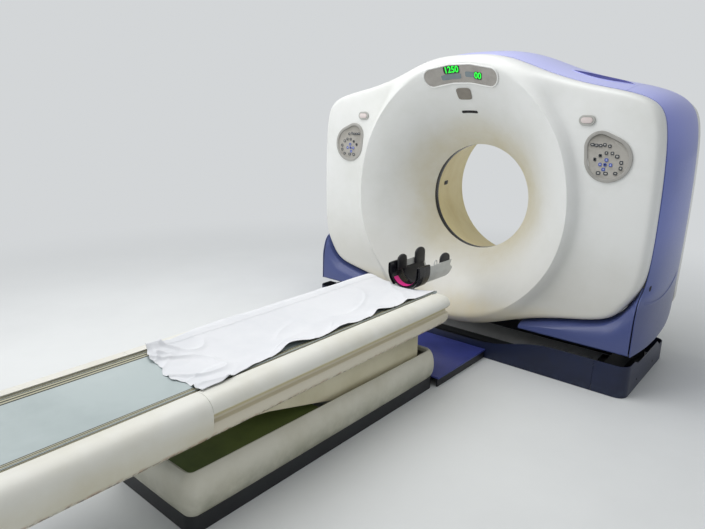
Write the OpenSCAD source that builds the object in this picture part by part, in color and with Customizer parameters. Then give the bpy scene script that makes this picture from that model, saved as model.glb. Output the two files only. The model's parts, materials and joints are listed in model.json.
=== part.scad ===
// Computed tomography scanner: tilting gantry with its turning ring, and the patient table in front of it.
// X runs across the room, Y along the bore from the table into the gantry, Z up from the floor.

/* [Gantry position] */
// Height of the bore axis above the floor, which is also the tilt axis
iso_z = 970; // [940:5:1000]
// Radius of the tilt trunnions
trunnion_r = 50; // [40:2:60]

/* [Bore] */
// Radius of the patient bore
bore_r = 350; // [330:5:360]
// Width of the scan window ring
window_w = 38; // [30:2:45]
// Radius of the bore's flared rear mouth
rear_mouth_r = 490; // [470:5:500]
// Wall of the bore tunnel
tunnel_wall = 6; // [4:0.5:8]

/* [Gantry covers] */
// Half the width of the front cover
cover_half_w = 1160; // [1130:10:1200]
// Height of the front cover's top above the bore axis
cover_top_h = 890; // [870:5:900]
// Depth of the front cover's bottom below the bore axis
cover_bottom_h = 808; // [790:2:820]
// Distance of the flat wings in front of the throat
wing_d = 306; // [280:2:330]
// Distance of the raised ring's crest in front of the throat
crest_d = 375; // [360:5:390]
// Radius of the raised ring's crest at the sides
crest_r = 735; // [715:5:745]
// How much further out the crest runs at the top
crest_top_rise = 100; // [90:5:100]
// Width of the ring's outer shoulder
shoulder_w = 65; // [50:5:80]
// Rounding of the front cover's edge
edge_r = 46; // [30:2:60]
// Distance of the joint line between front and side covers in front of the throat
split_d = 200; // [180:5:220]
// Distance of the joint line between side and rear covers behind the throat
rear_split_d = 480; // [460:5:500]
// Distance of the flat rear face behind the throat
rear_d = 620; // [600:5:640]
// Most that the side and top covers bulge past the front cover's outline
band_bulge = 48; // [30:2:60]
// Height of the lower edge of the side and lower covers above the floor
skirt_z = 242; // [230:2:260]
// Rise of the side covers' lower edge towards the rear
skirt_rise = 48; // [44:4:80]
// Wall of the moulded covers
cover_wall = 6; // [4:0.5:8]
// Gap between neighbouring covers
cover_gap = 0.8; // [0.6:0.1:0.9]

/* [Operator controls] */
// Height of the control panels above the bore axis
panel_h = 322; // [310:2:330]
// Radius of a control panel's large end
panel_r = 122; // [110:2:126]
// Thickness of a control panel's rim
panel_t = 9; // [6:1:12]
// Height of the stop buttons above the bore axis
stop_h = 520; // [505:5:530]
// Length of a stop button's face
stop_w = 62; // [50:2:70]
// Height of a stop button's face
stop_face_h = 30; // [24:2:36]
// Travel of a stop button
stop_travel = 5; // [3:0.5:6]
// Radius on which the gantry display is centred
display_r = 775; // [765:5:790]
// Half the angle that the gantry display spans
display_half_angle = 19; // [16:1:22]

/* [Turning ring] */
// Outer radius of the turning drum
drum_r = 742; // [730:2:750]
// Inner radius of the turning drum
drum_in_r = 428; // [420:2:440]
// Thickness of the drum's plate and rim
drum_wall = 18; // [12:2:24]
// Distance of the drum plate's front face behind the throat
drum_plate_d = 200; // [190:5:210]
// Distance of the drum rim's front edge in front of the throat
drum_front_d = 20; // [0:5:30]
// Radius of the x-ray tube housing
tube_r = 82; // [70:2:90]
// Distance of the x-ray focus from the bore axis
focus_r = 541; // [530:1:550]
// Distance from the x-ray focus to the detector
focus_to_detector = 949; // [940:1:960]
// Radius of the scanned field
scan_r = 250; // [230:5:255]
// Radius of the drive motor's pulley
pulley_r = 52; // [45:1:60]
// Width of the drive belt
belt_w = 34; // [25:1:40]
// Thickness of the drive belt
belt_t = 6; // [4:1:8]
// Distance of the drive motor from the middle
motor_x = 800; // [790:5:810]
// Height of the drive motor above the bore axis
motor_h = 520; // [510:5:535]

/* [Tilting frame] */
// Distance of the tilting frame's plate behind the throat
frame_d = 320; // [310:5:330]
// Thickness of the tilting frame's plate
frame_t = 36; // [30:2:44]
// Outer radius of the tilting frame's plate
frame_r = 780; // [770:5:790]

/* [Gantry base] */
// Distance of the base's front face in front of the throat
base_front_d = 360; // [350:5:380]
// Distance of the base's rear face behind the throat
base_rear_d = 450; // [430:5:480]
// Height of the base covers at the corners
base_top_z = 188; // [180:2:195]
// Height of the front base cover in the middle
base_low_z = 102; // [90:2:104]
// Corner radius of the base covers
base_corner_r = 60; // [40:5:80]
// Wall of the base covers
base_wall = 4; // [3:0.5:6]
// Height of the base frame's beams
beam_h = 80; // [60:5:90]
// Radius of the floor anchor holes
anchor_r = 9; // [7:0.5:11]

/* [Patient table] */
// Height of the cradle's edge above the floor
cradle_z = 540; // [530:2:560]
// Half the width of the cradle
cradle_half_w = 220; // [210:2:230]
// How far the cradle dips in the middle
cradle_dip = 24; // [15:1:35]
// Thickness of the cradle
cradle_t = 20; // [14:1:26]
// Distance of the cradle's gantry end in front of the throat
cradle_end_d = 830; // [820:5:850]
// Length of the cradle
cradle_l = 2330; // [2200:10:2400]
// Half the width of the table's side covers
table_half_w = 330; // [320:2:340]
// Height of the side covers' lower edge above the floor
table_low_z = 380; // [375:1:390]
// Distance of the joint between side covers and rear end cover in front of the throat
table_joint_d = 2450; // [2430:10:2480]
// Rounding of the table covers' corners, seen from above
table_corner_r = 50; // [40:2:60]
// Wall of the table covers
table_wall = 5; // [4:0.5:7]

/* [Table base] */
// Half the width of the table base's cover
pillow_half_w = 302; // [295:1:310]
// Distance of the base cover's gantry end in front of the throat
pillow_front_d = 900; // [890:5:920]
// Distance of the base cover's far end in front of the throat
pillow_rear_d = 2560; // [2500:10:2600]
// Height of the base cover's crest above the floor
pillow_z = 232; // [224:2:240]
// Height of the plinth under the base cover
plinth_z = 72; // [60:2:80]
// Distance of the leg's lower pivot in front of the throat
leg_low_d = 1020; // [1010:5:1040]
// Height of the leg's lower pivot
leg_low_z = 120; // [115:1:126]
// Distance of the leg's upper pivot in front of the throat
leg_high_d = 2300; // [2280:5:2320]
// Height of the leg's upper pivot
leg_high_z = 400; // [396:1:404]
// Radius of the leg's pivot shafts
pivot_r = 16; // [12:1:20]
// Half the distance between the leg's two arms
arm_x = 140; // [130:5:150]

/* [Head holder] */
// Length of the head holder
holder_l = 350; // [300:5:355]
// Half the width of the head holder
holder_half_w = 104; // [95:1:110]
// Wall of the head holder
holder_wall = 6; // [4:0.5:8]

/* [Hidden] */
$fn = 96;
seat_gap = 0.3;    // gap between pieces of different bodies that meet
fit_gap = 0.08;    // radial clearance of a shaft in its bearing

white = "#e9e9e4";
lavender = "#9a9bd6";
navy = "#1a2233";
cream = "#e4e1d4";
steel = "#8d9297";
dark = "#26282c";
grey = "#9a9b95";

// Places that follow the width of the gantry's covers
base_half_w = cover_half_w;
base_seam_x = base_half_w - 185;
side_beam_x = base_half_w - 190;
pedestal_x = cover_half_w - 175;
arm_plate_x = cover_half_w - 280;
panel_x = cover_half_w - 260;
stop_x = cover_half_w - 390;
bracket_at = [cover_half_w - 310, 300];

// Points of a front cover outline from its lowest to its highest, as shares of its half width, top and bottom
cover_half = [
    [0, -1], [0.20, -0.96], [0.43, -0.84], [0.64, -0.765], [0.85, -0.70], [0.93, -0.58], [0.98, -0.44],
    [0.997, -0.25], [1, 0.05], [0.995, 0.35], [0.975, 0.593], [0.917, 0.70], [0.793, 0.755],
    [0.612, 0.803], [0.414, 0.88], [0.20, 0.984], [0, 1]
];
// The upper part is shared with the band of side and top covers
cover_upper = [for (i = [8 : len(cover_half) - 1]) cover_half[i]];
lower_corner = cover_half[6];
side_lower = [[0.99, -0.86], [0.9925, -0.75], [0.9945, -0.641], [0.9965, -0.509], [0.9972, -0.44],
    [0.998, -0.34], [0.9992, -0.2]];
skirt_share = (skirt_z - iso_z) / cover_bottom_h;
band_half = concat([[0.985, skirt_share]], side_lower, cover_upper);
rear_share = (skirt_z + skirt_rise - iso_z) / cover_bottom_h;
rear_half = concat([for (x = [0 : 0.1 : 0.85]) [x, rear_share]], [[0.93, rear_share + 0.01]],
                   [for (p = side_lower) if (p.y > rear_share + 0.04) p], cover_upper);
// At their front edge the side covers come in to the corner where front and lower covers meet
edge_inset = [[lower_corner.y, 0.0075 + lower_corner.x], [cover_half[7].y, cover_half[7].x],
    [cover_half[8].y, cover_half[8].x]];
edge_half = concat([[edge_inset[0][1], skirt_share]],
    [for (p = side_lower) [lookup(p.y, edge_inset), p.y]], cover_upper);
// Bulge of the band from its front to its rear edge: share of the depth, share of the bulge
band_profile = [[0, 0.08], [0.12, 0.5], [0.3, 0.875], [0.55, 1], [0.8, 0.83], [1, 0.3]];
outline_steps = 2;
top_cover_knot = 4;   // outline points counted from the top to the joint between top and side covers

function unit(v) = v / norm(v);
function flat(rows) = [for (row = rows) for (p = row) p];
function mirrored(half) =
    concat(half, [for (i = [len(half) - 2 : -1 : (half[0].x == 0 ? 1 : 0)]) [-half[i].x, half[i].y]]);
function sized(half) =
    [for (p = half) [p.x * cover_half_w, p.y * (p.y > 0 ? cover_top_h : cover_bottom_h)]];
function bend(a, b, c, d, t) =
    0.5 * (2 * b + (c - a) * t + (2 * a - 5 * b + 4 * c - d) * t * t + (3 * b - a - 3 * c + d) * t * t * t);
function closed_curve(p, steps) =
    let (n = len(p))
    [for (i = [0 : n - 1], k = [0 : steps - 1])
        bend(p[(i + n - 1) % n], p[i], p[(i + 1) % n], p[(i + 2) % n], k / steps)];
function open_curve(p, steps) =
    let (n = len(p))
    concat([for (i = [0 : n - 2], k = [0 : steps - 1])
        bend(p[max(i - 1, 0)], p[i], p[i + 1], p[min(i + 2, n - 1)], k / steps)], [p[n - 1]]);

// Outward direction of a grid of points at row i and column j
function grid_normal(g, i, j, loop) =
    let (n = len(g), m = len(g[0]),
         i0 = max(i - 1, 0), i1 = min(i + 1, n - 1),
         j0 = loop ? (j + m - 1) % m : max(j - 1, 0), j1 = loop ? (j + 1) % m : min(j + 1, m - 1))
    unit(cross(g[i1][j] - g[i0][j], g[i][j1] - g[i][j0]));

// Columns of a grid; where the piece ends at a joint with the next one, half the joint's gap is left open
function columns(rows, first, end) =
    [for (row = rows) [for (j = [first : end])
        j == first && first > 0 ? row[j] + cover_gap / 2 * unit(row[j + 1] - row[j])
        : j == end && end < len(row) - 1 ? row[j] + cover_gap / 2 * unit(row[j - 1] - row[j]) : row[j]]];

// Rows of a grid, cut in the same way
function rows_between(g, top, low) =
    [for (i = [top : low]) [for (j = [0 : len(g[0]) - 1])
        i == top && top > 0 ? g[i][j] + cover_gap / 2 * unit(g[i + 1][j] - g[i][j])
        : i == low && low < len(g) - 1 ? g[i][j] + cover_gap / 2 * unit(g[i - 1][j] - g[i][j]) : g[i][j]]];

// A moulded wall: the grid is its outer face, and its inner face lies one wall deeper
module moulding(whole, wall, loop = false, first = 0, end = -1, top = 0, bottom = -1) {
    stop = end < 0 ? len(whole[0]) - 1 : end;
    low = bottom < 0 ? len(whole) - 1 : bottom;
    deeper = [for (i = [0 : len(whole) - 1]) [for (j = [0 : len(whole[0]) - 1])
        whole[i][j] - wall * grid_normal(whole, i, j, loop)]];
    g = columns(rows_between(whole, top, low), first, stop);
    inner = columns(rows_between(deeper, top, low), first, stop);
    n = len(g);
    m = len(g[0]);
    deep = n * m;
    last = loop ? m - 1 : m - 2;
    function at(i, j) = i * m + j % m;
    sheets = [for (i = [0 : n - 2], j = [0 : last])
        let (a = at(i, j), b = at(i, j + 1), c = at(i + 1, j + 1), d = at(i + 1, j))
        each [[a, b, c], [a, c, d], [deep + a, deep + c, deep + b], [deep + a, deep + d, deep + c]]];
    rims = [for (j = [0 : last])
        let (a = at(0, j), b = at(0, j + 1), c = at(n - 1, j + 1), d = at(n - 1, j))
        each [[b, a, deep + a], [b, deep + a, deep + b], [d, c, deep + c], [d, deep + c, deep + d]]];
    ends = loop ? [] : [for (i = [0 : n - 2])
        let (a = at(i, 0), d = at(i + 1, 0), b = at(i, m - 1), c = at(i + 1, m - 1))
        each [[a, d, deep + d], [a, deep + d, deep + a], [c, b, deep + b], [c, deep + b, deep + c]]];
    polyhedron(concat(flat(g), flat(inner)), concat(sheets, rims, ends), convexity = 10);
}

// Local Z runs along the bore towards the rear, local X to the right and local Y down
module on_bore(d = 0) translate([0, d, iso_z]) rotate([-90, 0, 0]) children();
module ring(r_in, r_out, depth) rotate_extrude() translate([r_in, 0]) square([r_out - r_in, depth]);
module both_sides() {
    children();
    mirror([1, 0, 0]) children();
}
// A plate whose outline is drawn as seen from the side, Y to the right, between two places along X
module side_plate(x, t) translate([x, 0, 0]) rotate([90, 0, 90]) linear_extrude(t) children();
// A plate whose outline is drawn as seen from the table, X to the right, between two places along Y
module front_plate(y, t) translate([0, y + t, 0]) rotate([90, 0, 0]) linear_extrude(t) children();
module round_bar(a, b, r) {
    v = b - a;
    translate(a) rotate([0, acos(v.z / norm(v)), atan2(v.y, v.x)]) cylinder(r = r, h = norm(v));
}

// Gantry covers
front_outline = closed_curve(sized(mirrored(cover_half)), outline_steps);
function crest_at(p) = crest_r + crest_top_rise * pow(max(0, p.y / norm(p)), 2);
bowl_steps = 6;
bowl_rim_steps = 7;
function bowl_depth(t) = crest_d * (t + sin(90 * t)) / 2;
function eased(t) = let (u = min(1, max(0, t))) u * u * (3 - 2 * u);
// Where the outline runs close to the crest, one quarter round leads from the crest to the side wall
function close_rim(crest, edge) =
    [for (k = [1 : bowl_rim_steps]) let (a = 90 * k / bowl_rim_steps)
        [crest + (edge - crest) * sin(a), -wing_d + edge_r - (crest_d - wing_d + edge_r) * cos(a)]];
// Elsewhere a shoulder leads down to the flat wing, and the wing ends in its own rounding
function wing_rim(crest, edge) = concat(
    [for (k = [1 : 3]) [crest + shoulder_w * k / 3, -wing_d - (crest_d - wing_d) * (1 + cos(60 * k)) / 2]],
    [for (a = [0 : 30 : 90]) [edge - edge_r * (1 - sin(a)), -wing_d + edge_r * (1 - cos(a))]]);
// Radius and depth of each row of the front cover along the ray to outline point p
function front_rows(p) =
    let (crest = crest_at(p), edge = norm(p), w = eased((edge - crest - shoulder_w - edge_r + 20) / 110))
    concat(
        [for (k = [0 : bowl_steps]) [bore_r + (crest - bore_r) * k / bowl_steps,
            -bowl_depth(k / bowl_steps)]],
        (1 - w) * close_rim(crest, edge) + w * wing_rim(crest, edge),
        [[edge, -split_d]]);
front_profiles = [for (p = front_outline) front_rows(p)];
front_grid = [for (i = [0 : len(front_profiles[0]) - 1])
    [for (j = [0 : len(front_outline) - 1])
        let (u = unit(front_outline[j]), q = front_profiles[j][i]) [u.x * q.x, q.y, iso_z + u.y * q.x]]];

module front_cover() {
    color(white) moulding(front_grid, cover_wall, loop = true, top = bowl_steps);
}
module bore_flare() {
    color(white) moulding(front_grid, cover_wall, loop = true, bottom = bowl_steps);
}

// Lower covers: from just under the front cover's edge, forward and down to the skirt
lower_columns = [for (j = [0 : len(front_outline) - 1])
    if (front_outline[j].x > 0.38 * cover_half_w && front_outline[j].y < -0.42 * cover_bottom_h
        && front_outline[j].x < 0.985 * cover_half_w) front_outline[j]];
lower_front_d = wing_d + 20;
function lower_column(p) =
    let (top = iso_z + p.y - cover_gap, h = top - skirt_z)
    [[p.x, -split_d - 14, top], [p.x, -wing_d + 12, top - 0.14 * h - 3], [p.x, -lower_front_d, top - 0.42
        * h - 6],
     [p.x, -lower_front_d - 4, skirt_z + 8], [p.x, -lower_front_d + 4, skirt_z],
         [p.x, -lower_front_d + 34, skirt_z]];
// Depth of the lower covers' outer edge by height, from the skirt to the front cover
lower_edge = let (c = lower_column([lower_corner.x * cover_half_w, lower_corner.y * cover_bottom_h]))
    concat([for (i = [3 : -1 : 0]) [c[i].z, -c[i].y]], [[c[0].z + 26, split_d]]);
lower_grid = [for (i = [5 : -1 : 0]) [for (p = lower_columns) lower_column(p)[i]]];
module lower_cover_right() {
    color(lavender) moulding([for (row = lower_grid) [for (j = [len(row) - 1 : -1 : 0]) row[j]]],
        cover_wall);
}
module lower_cover_left() mirror([1, 0, 0]) lower_cover_right();

// Outline points pushed out by the band's bulge
function outward(o, j, closed) =
    let (m = len(o), a = o[closed ? (j + m - 1) % m : max(j - 1, 0)], b =
        o[closed ? (j + 1) % m : min(j + 1, m - 1)],
         t = unit(b - a)) [t.y, -t.x];
function band_front(z) = lookup(z, lower_edge);
function low_share(z) = min(1, max(0, (iso_z - 200 - z) / (iso_z - 200 - skirt_z)));
function band_point(p, n, v, bulge) =
    let (q = p + n * bulge, front = band_front(iso_z + p.y), y = -front + v
        * (rear_split_d + front - cover_gap))
    [q.x, y + (v == 0 ? cover_gap : 0), iso_z + q.y + skirt_rise * v * low_share(iso_z + p.y)];
band_outline = open_curve(sized(mirrored(band_half)), outline_steps);
edge_outline = open_curve(sized(mirrored(edge_half)), outline_steps);
band_split = (len(band_half) - 1 - top_cover_knot) * outline_steps;
band_last = len(band_outline) - 1;
band_grid = [for (row = band_profile) let (o = row[0] == 0 ? edge_outline
    : band_outline) [for (j = [0 : band_last])
    band_point(o[j], outward(band_outline, j, false), row[0], band_bulge * row[1])]];
module band_part(first, end) color(lavender) moulding(band_grid, cover_wall, first = first, end = end);
module top_cover() band_part(band_split, band_last - band_split);
module side_cover_right() band_part(0, band_split);
module side_cover_left() band_part(band_last - band_split, band_last);

rear_outline = closed_curve(sized(mirrored(rear_half)), outline_steps);
rear_round = 60;
mouth_lip = 14;
rear_bulge = band_bulge * band_profile[len(band_profile) - 1][1];
rear_grid = [for (row = [[rear_bulge, rear_split_d], [rear_bulge, rear_d - rear_round],
                         [rear_bulge - 18, rear_d - 18], [rear_bulge - rear_round, rear_d]])
    [for (j = [0 : len(rear_outline) - 1])
        let (q = rear_outline[j] + outward(rear_outline, j, true) * row[0]) [q.x, row[1], iso_z + q.y]]];
mouth_rows = [for (row = [[mouth_lip + tunnel_wall, 0], [tunnel_wall + 1.6, 5], [tunnel_wall + 1.6, 12]])
    [for (p = rear_outline)
        let (q = unit(p) * (rear_mouth_r + row[0])) [q.x, rear_d - row[1], iso_z + q.y]]];
module rear_cover() {
    color(white) moulding(concat(rear_grid, mouth_rows), cover_wall, loop = true);
}

// Bore lining
window_start = 5;
tunnel_start = window_start + window_w + cover_gap;
module scan_window() {
    color(dark) on_bore(window_start) ring(bore_r, bore_r + tunnel_wall, window_w);
}
module rear_tunnel() {
    tunnel_end = rear_d - mouth_lip;
    color("#d9d2b4") on_bore() rotate_extrude() polygon([
        [bore_r, tunnel_start], [bore_r + tunnel_wall, tunnel_start],
            [rear_mouth_r + tunnel_wall, tunnel_end],
        [rear_mouth_r + tunnel_wall, rear_d], [rear_mouth_r, rear_d], [rear_mouth_r, tunnel_end]]);
}

// A strip on the bowl's face: between two radii, spanning an angle each side of the top
module bowl_strip(r_in, r_out, half_angle, lift, t, steps = 4) {
    crest = crest_r + crest_top_rise * pow(cos(half_angle), 2);
    place = [for (k = [0 : steps]) let (r = r_in + (r_out - r_in) * k / steps)
        [r, -bowl_depth(min(1, (r - bore_r) / (crest - bore_r))) - lift]];
    on_bore() rotate([0, 0, -90 - half_angle]) rotate_extrude(angle = 2 * half_angle)
        polygon(concat(place, [for (k = [steps : -1 : 0]) place[k] - [0, t]]));
}
display_half = 53;
module gantry_display() {
    color(grey) difference() {
        bowl_strip(display_r - display_half, display_r + display_half, display_half_angle, 2.2, 7);
        bowl_strip(display_r - display_half + 9, display_r + display_half - 9, display_half_angle - 1.2,
            5.7, 9);
    }
    color("#5f6f6c") bowl_strip(display_r - 22, display_r + 20, display_half_angle - 7, 5.2, 2, 2);
}
module positioning_light_lens() {
    color("#8d8577") bowl_strip(display_r - 147, display_r - 77, 4.8, 1.4, 4, 2);
}
module intercom_grille() {
    color(dark) bowl_strip(display_r - 225, display_r - 216, 5.4, 1, 4, 1);
}

// Outline around two circles and their outer tangents
outline_step = 2.5;
function belt_outline(r1, p, r2) =
    let (a = acos((r1 - r2) / norm(p)), f = atan2(p.y, p.x),
         n1 = ceil((360 - 2 * a) / outline_step), n2 = ceil(2 * a / outline_step))
    concat([for (k = [0 : n1]) let (t = f + a + (360 - 2 * a) * k / n1) [r1 * cos(t), r1 * sin(t)]],
           [for (k = [0 : n2]) let (t = f - a + 2 * a * k / n2) p + [r2 * cos(t), r2 * sin(t)]]);
module belt_shape(r1, p, r2) polygon(belt_outline(r1, p, r2));
panel_tip = [-46, 63];
module panel_shape(inset = 0) belt_shape(panel_r - inset, panel_tip, panel_r * 0.68 - inset);
panel_rim = 17;
module control_panel_right() {
    key_r = 9;
    floor_t = 4;
    color(grey) translate([panel_x, -wing_d - seat_gap, iso_z + panel_h]) rotate([90, 0, 0]) {
        difference() {
            linear_extrude(panel_t) panel_shape();
            translate([0, 0, floor_t]) linear_extrude(panel_t) panel_shape(panel_rim);
        }
        for (a = [-200 : 36 : 16]) rotate([0, 0, a]) translate([70, -14, floor_t])
            cylinder(r = key_r, h = 2);
        for (a = [0 : 90 : 270]) rotate([0, 0, a]) translate([29, 0, floor_t]) cylinder(r = key_r, h = 2);
        for (x = [-87 : 29 : 0]) translate([x, 94, floor_t]) cylinder(r = key_r, h = 2);
    }
}
module control_panel_left() mirror([1, 0, 0]) control_panel_right();

module pill(w, h) {
    square([w - h, h], center = true);
    for (s = [-1, 1]) translate([s * (w - h) / 2, 0]) circle(r = h / 2);
}
bezel_w = 12;
module at_stop(side) translate([side * stop_x, -wing_d, iso_z + stop_h]) rotate([90, 0, 0]) children();
module stop_bezels() {
    color("#d8d8d2") for (side = [-1, 1]) at_stop(side) translate([0, 0, seat_gap])
        linear_extrude(stop_travel + 6)
        difference() {
            pill(stop_w + 2 * bezel_w, stop_face_h + 2 * bezel_w);
            pill(stop_w + 2 * seat_gap, stop_face_h + 2 * seat_gap);
        }
}
module stop_button(side) {
    color("#dcb9b4") at_stop(side) translate([0, 0, stop_travel + 2 * seat_gap]) linear_extrude(8)
        pill(stop_w, stop_face_h);
}
module stop_button_left() stop_button(-1);
module stop_button_right() stop_button(1);

// Tilting frame and what it carries
bearing_w = 30;
hub_r = 500;
hub_wall = 30;
bearing_end_d = frame_d + frame_t;
arm_plate_t = 25;
arm_half_h = 160;
lug_half_h = 340;
motor_at = [motor_x, motor_h];
motor_r = 75;
bracket_w = 40;
module bracket_arms() {
    front_face = -wing_d + cover_wall + seat_gap;
    rear_face = rear_d - cover_wall - seat_gap;
    for (sx = [-1, 1], sz = [-1, 1])
        translate([sx * bracket_at.x, 0, iso_z + sz * bracket_at.y]) {
        translate([-bracket_w / 2, front_face, -bracket_w / 2])
            cube([bracket_w, frame_d - front_face, bracket_w]);
        translate([-bracket_w / 2, bearing_end_d, -bracket_w / 2])
            cube([bracket_w, rear_face - bearing_end_d, bracket_w]);
    }
}
module tilt_frame() {
    color(steel) {
        front_plate(frame_d, frame_t) translate([0, iso_z]) difference() {
            union() {
                circle(r = frame_r);
                square([2 * (arm_plate_x + arm_plate_t), 2 * lug_half_h], center = true);
                belt_shape(frame_r * 0.5, motor_at, motor_r + 20);
            }
            circle(r = hub_r + bearing_w);
        }
        bracket_arms();
        both_sides() side_plate(arm_plate_x, arm_plate_t) {
            translate([-arm_half_h * 0.6, iso_z - arm_half_h])
                square([frame_d + arm_half_h * 0.6, 2 * arm_half_h]);
            translate([0, iso_z]) circle(r = arm_half_h);
        }
    }
}
shaft_start = arm_plate_x + arm_plate_t;
bearing_t = 55;
shaft_end = pedestal_x + 20 + bearing_t + 62;
module trunnion_shafts() {
    color("#b9bec2") both_sides() translate([0, 0, iso_z]) rotate([0, 90, 0]) {
        translate([0, 0, shaft_start]) cylinder(r = trunnion_r, h = shaft_end - shaft_start);
        translate([0, 0, shaft_start]) cylinder(r = trunnion_r + 40, h = 20);
    }
}
module main_bearing() {
    color("#b9bec2") on_bore(frame_d) ring(hub_r + fit_gap, hub_r + bearing_w, frame_t);
}
motor_l = 170;
pulley_gap = 0.3;
belt_start_d = 92;
module drive_motor() {
    color("#4b5157") translate([0, 0, iso_z]) rotate([-90, 0, 0])
        translate([motor_at.x, -motor_at.y, frame_d - motor_l])
        cylinder(r = motor_r, h = motor_l);
}
module drive_belt() {
    color(dark) front_plate(belt_start_d, belt_w) translate([0, iso_z]) difference() {
        belt_shape(drum_r + pulley_gap + belt_t, motor_at, pulley_r + pulley_gap + belt_t);
        belt_shape(drum_r + pulley_gap, motor_at, pulley_r + pulley_gap);
    }
}
module motor_pulley() {
    flange = 6;
    start = belt_start_d - flange - pulley_gap;
    shaft_l = frame_d - motor_l - start - pulley_gap;
    color("#b9bec2") translate([0, 0, iso_z]) rotate([-90, 0, 0])
        translate([motor_at.x, -motor_at.y, start]) {
        cylinder(r = pulley_r, h = belt_w + 2 * (flange + pulley_gap));
        cylinder(r = pulley_r + belt_t + 4, h = flange);
        translate([0, 0, flange + belt_w + 2 * pulley_gap]) cylinder(r = pulley_r + belt_t + 4, h = flange);
        cylinder(r = 14, h = shaft_l);
    }
}
slip_in_r = 560;
slip_out_r = 690;
slip_t = 22;
drum_back_d = drum_plate_d + drum_wall;
module slip_ring_brushes() {
    brush_start = drum_back_d + slip_t + seat_gap;
    color("#3d4146") translate([0, 0, iso_z]) rotate([0, 35, 0])
        translate([-slip_out_r, brush_start, -60])
            cube([slip_out_r - slip_in_r, frame_d - brush_start, 120]);
}

// Turning ring
module rotor_drum() {
    color("#a4a9ad") on_bore() difference() {
        rotate_extrude() {
            translate([drum_in_r, drum_plate_d]) square([drum_r - drum_in_r, drum_wall]);
            translate([drum_r - drum_wall, -drum_front_d]) square([drum_wall, drum_back_d + drum_front_d]);
            translate([hub_r - hub_wall, drum_plate_d]) square([hub_wall, bearing_end_d - drum_plate_d]);
        }
        for (a = [0 : 30 : 330]) rotate([0, 0, a + 15])
            translate([drum_r - 90, 0, drum_plate_d - 1]) cylinder(r = 28, h = drum_wall + 2);
    }
}
module slip_ring() {
    track = 10;
    color("#c8a24a") on_bore(drum_back_d) difference() {
        ring(slip_in_r, slip_out_r, slip_t);
        for (r = [slip_in_r + 15 : 2 * track : slip_out_r - track]) translate([0, 0, slip_t - 4])
            ring(r, r + track, 5);
    }
}
tube_at = focus_r + 62;
tube_front = -125;
module xray_tube() {
    color("#c9cdd0") on_bore() translate([0, -tube_at, 0]) {
        translate([0, 0, tube_front]) cylinder(r = tube_r, h = drum_plate_d - tube_front);
        translate([0, 0, tube_front - 22]) cylinder(r = tube_r - 24, h = 22);
        for (s = [-1, 1]) translate([0, 0, 90 + 30 * s]) rotate([90, 0, 0]) translate([0, 0, tube_r - 14])
            cylinder(r = 20, h = 44);
    }
}
module collimator() {
    low = 395;
    top = tube_at - tube_r;
    half_w = 70;
    color("#70767b") translate([-half_w, -18, iso_z]) {
        translate([0, 0, low]) cube([2 * half_w, 78, drum_in_r + 8 - low]);
        translate([0, 0, drum_in_r + 8]) cube([2 * half_w, drum_plate_d + 18, top - drum_in_r - 20]);
        translate([half_w, 38, drum_in_r]) cylinder(r = 30, h = top - drum_in_r - 1);
    }
}
fan_half = asin(scan_r / focus_r);
module detector_array($fn = 480) {
    color("#5a6066") on_bore() translate([0, -focus_r, 0]) rotate([0, 0, 90 - fan_half]) {
        translate([0, 0, -10]) rotate_extrude(angle = 2 * fan_half)
            translate([focus_to_detector, 0]) square([42, 70]);
        translate([0, 0, 60]) rotate_extrude(angle = 2 * fan_half)
            translate([focus_to_detector + 26, 0]) square([74, drum_plate_d - 60]);
    }
}
module high_voltage_tanks() {
    color("#7d8489") both_sides() translate([482, -88, iso_z - 110]) cube([205, drum_plate_d + 88, 300]);
}
module heat_exchanger() {
    color("#8b9196") on_bore() rotate([0, 0, -130]) difference() {
        translate([530, -88, -50]) cube([165, 176, drum_plate_d + 50]);
        for (x = [550 : 16 : 680]) translate([x, -80, -51]) cube([8, 160, 30]);
    }
}
module counterweights() {
    color("#5f6569") on_bore(60) for (a = [-62, 118, 38]) rotate([0, 0, a]) rotate_extrude(angle = 24)
        translate([645, 0]) square([drum_r - drum_wall - seat_gap - 645, drum_plate_d - 60]);
}

// Gantry base
side_beam_h = 100;
side_beam = [side_beam_x, 110, -290, 630];
beam_d = [-280, 240];
cover_tab = [40, 12];
module base_frame() {
    pad = [100, 100, 12];
    inside = [base_half_w, base_front_d, base_rear_d] - [1, 1, 1] * (base_wall + seat_gap);
    color(steel) {
        both_sides() translate([side_beam[0], side_beam[2], 0])
            cube([side_beam[1], side_beam[3], side_beam_h]);
        for (y = beam_d) translate([-side_beam[0], y, 0]) cube([2 * side_beam[0], beam_h, beam_h]);
        both_sides() translate([side_beam[0] + side_beam[1] - 1, 0, cover_tab.x])
            cube([inside[0] - side_beam[0] - side_beam[1] + 1, cover_tab.x, cover_tab.y]);
        both_sides() translate([base_half_w / 2, -inside[1], cover_tab.x])
            cube([cover_tab.x, inside[1] + beam_d[0] + 1, cover_tab.y]);
        both_sides() translate([base_half_w / 2, beam_d[1] + beam_h - 1, cover_tab.x])
            cube([cover_tab.x, inside[2] - beam_d[1] - beam_h + 1, cover_tab.y]);
        both_sides() for (y = [-190, 90]) difference() {
            translate([side_beam[0] - pad.x, y, 0]) cube(pad);
            translate([side_beam[0] - pad.x / 2, y + pad.y / 2, -1]) cylinder(r = anchor_r, h = pad.z + 2);
        }
    }
}
bearing_out_r = 82;
pedestal_t = 40;
pedestal_start = pedestal_x + 20;
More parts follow.
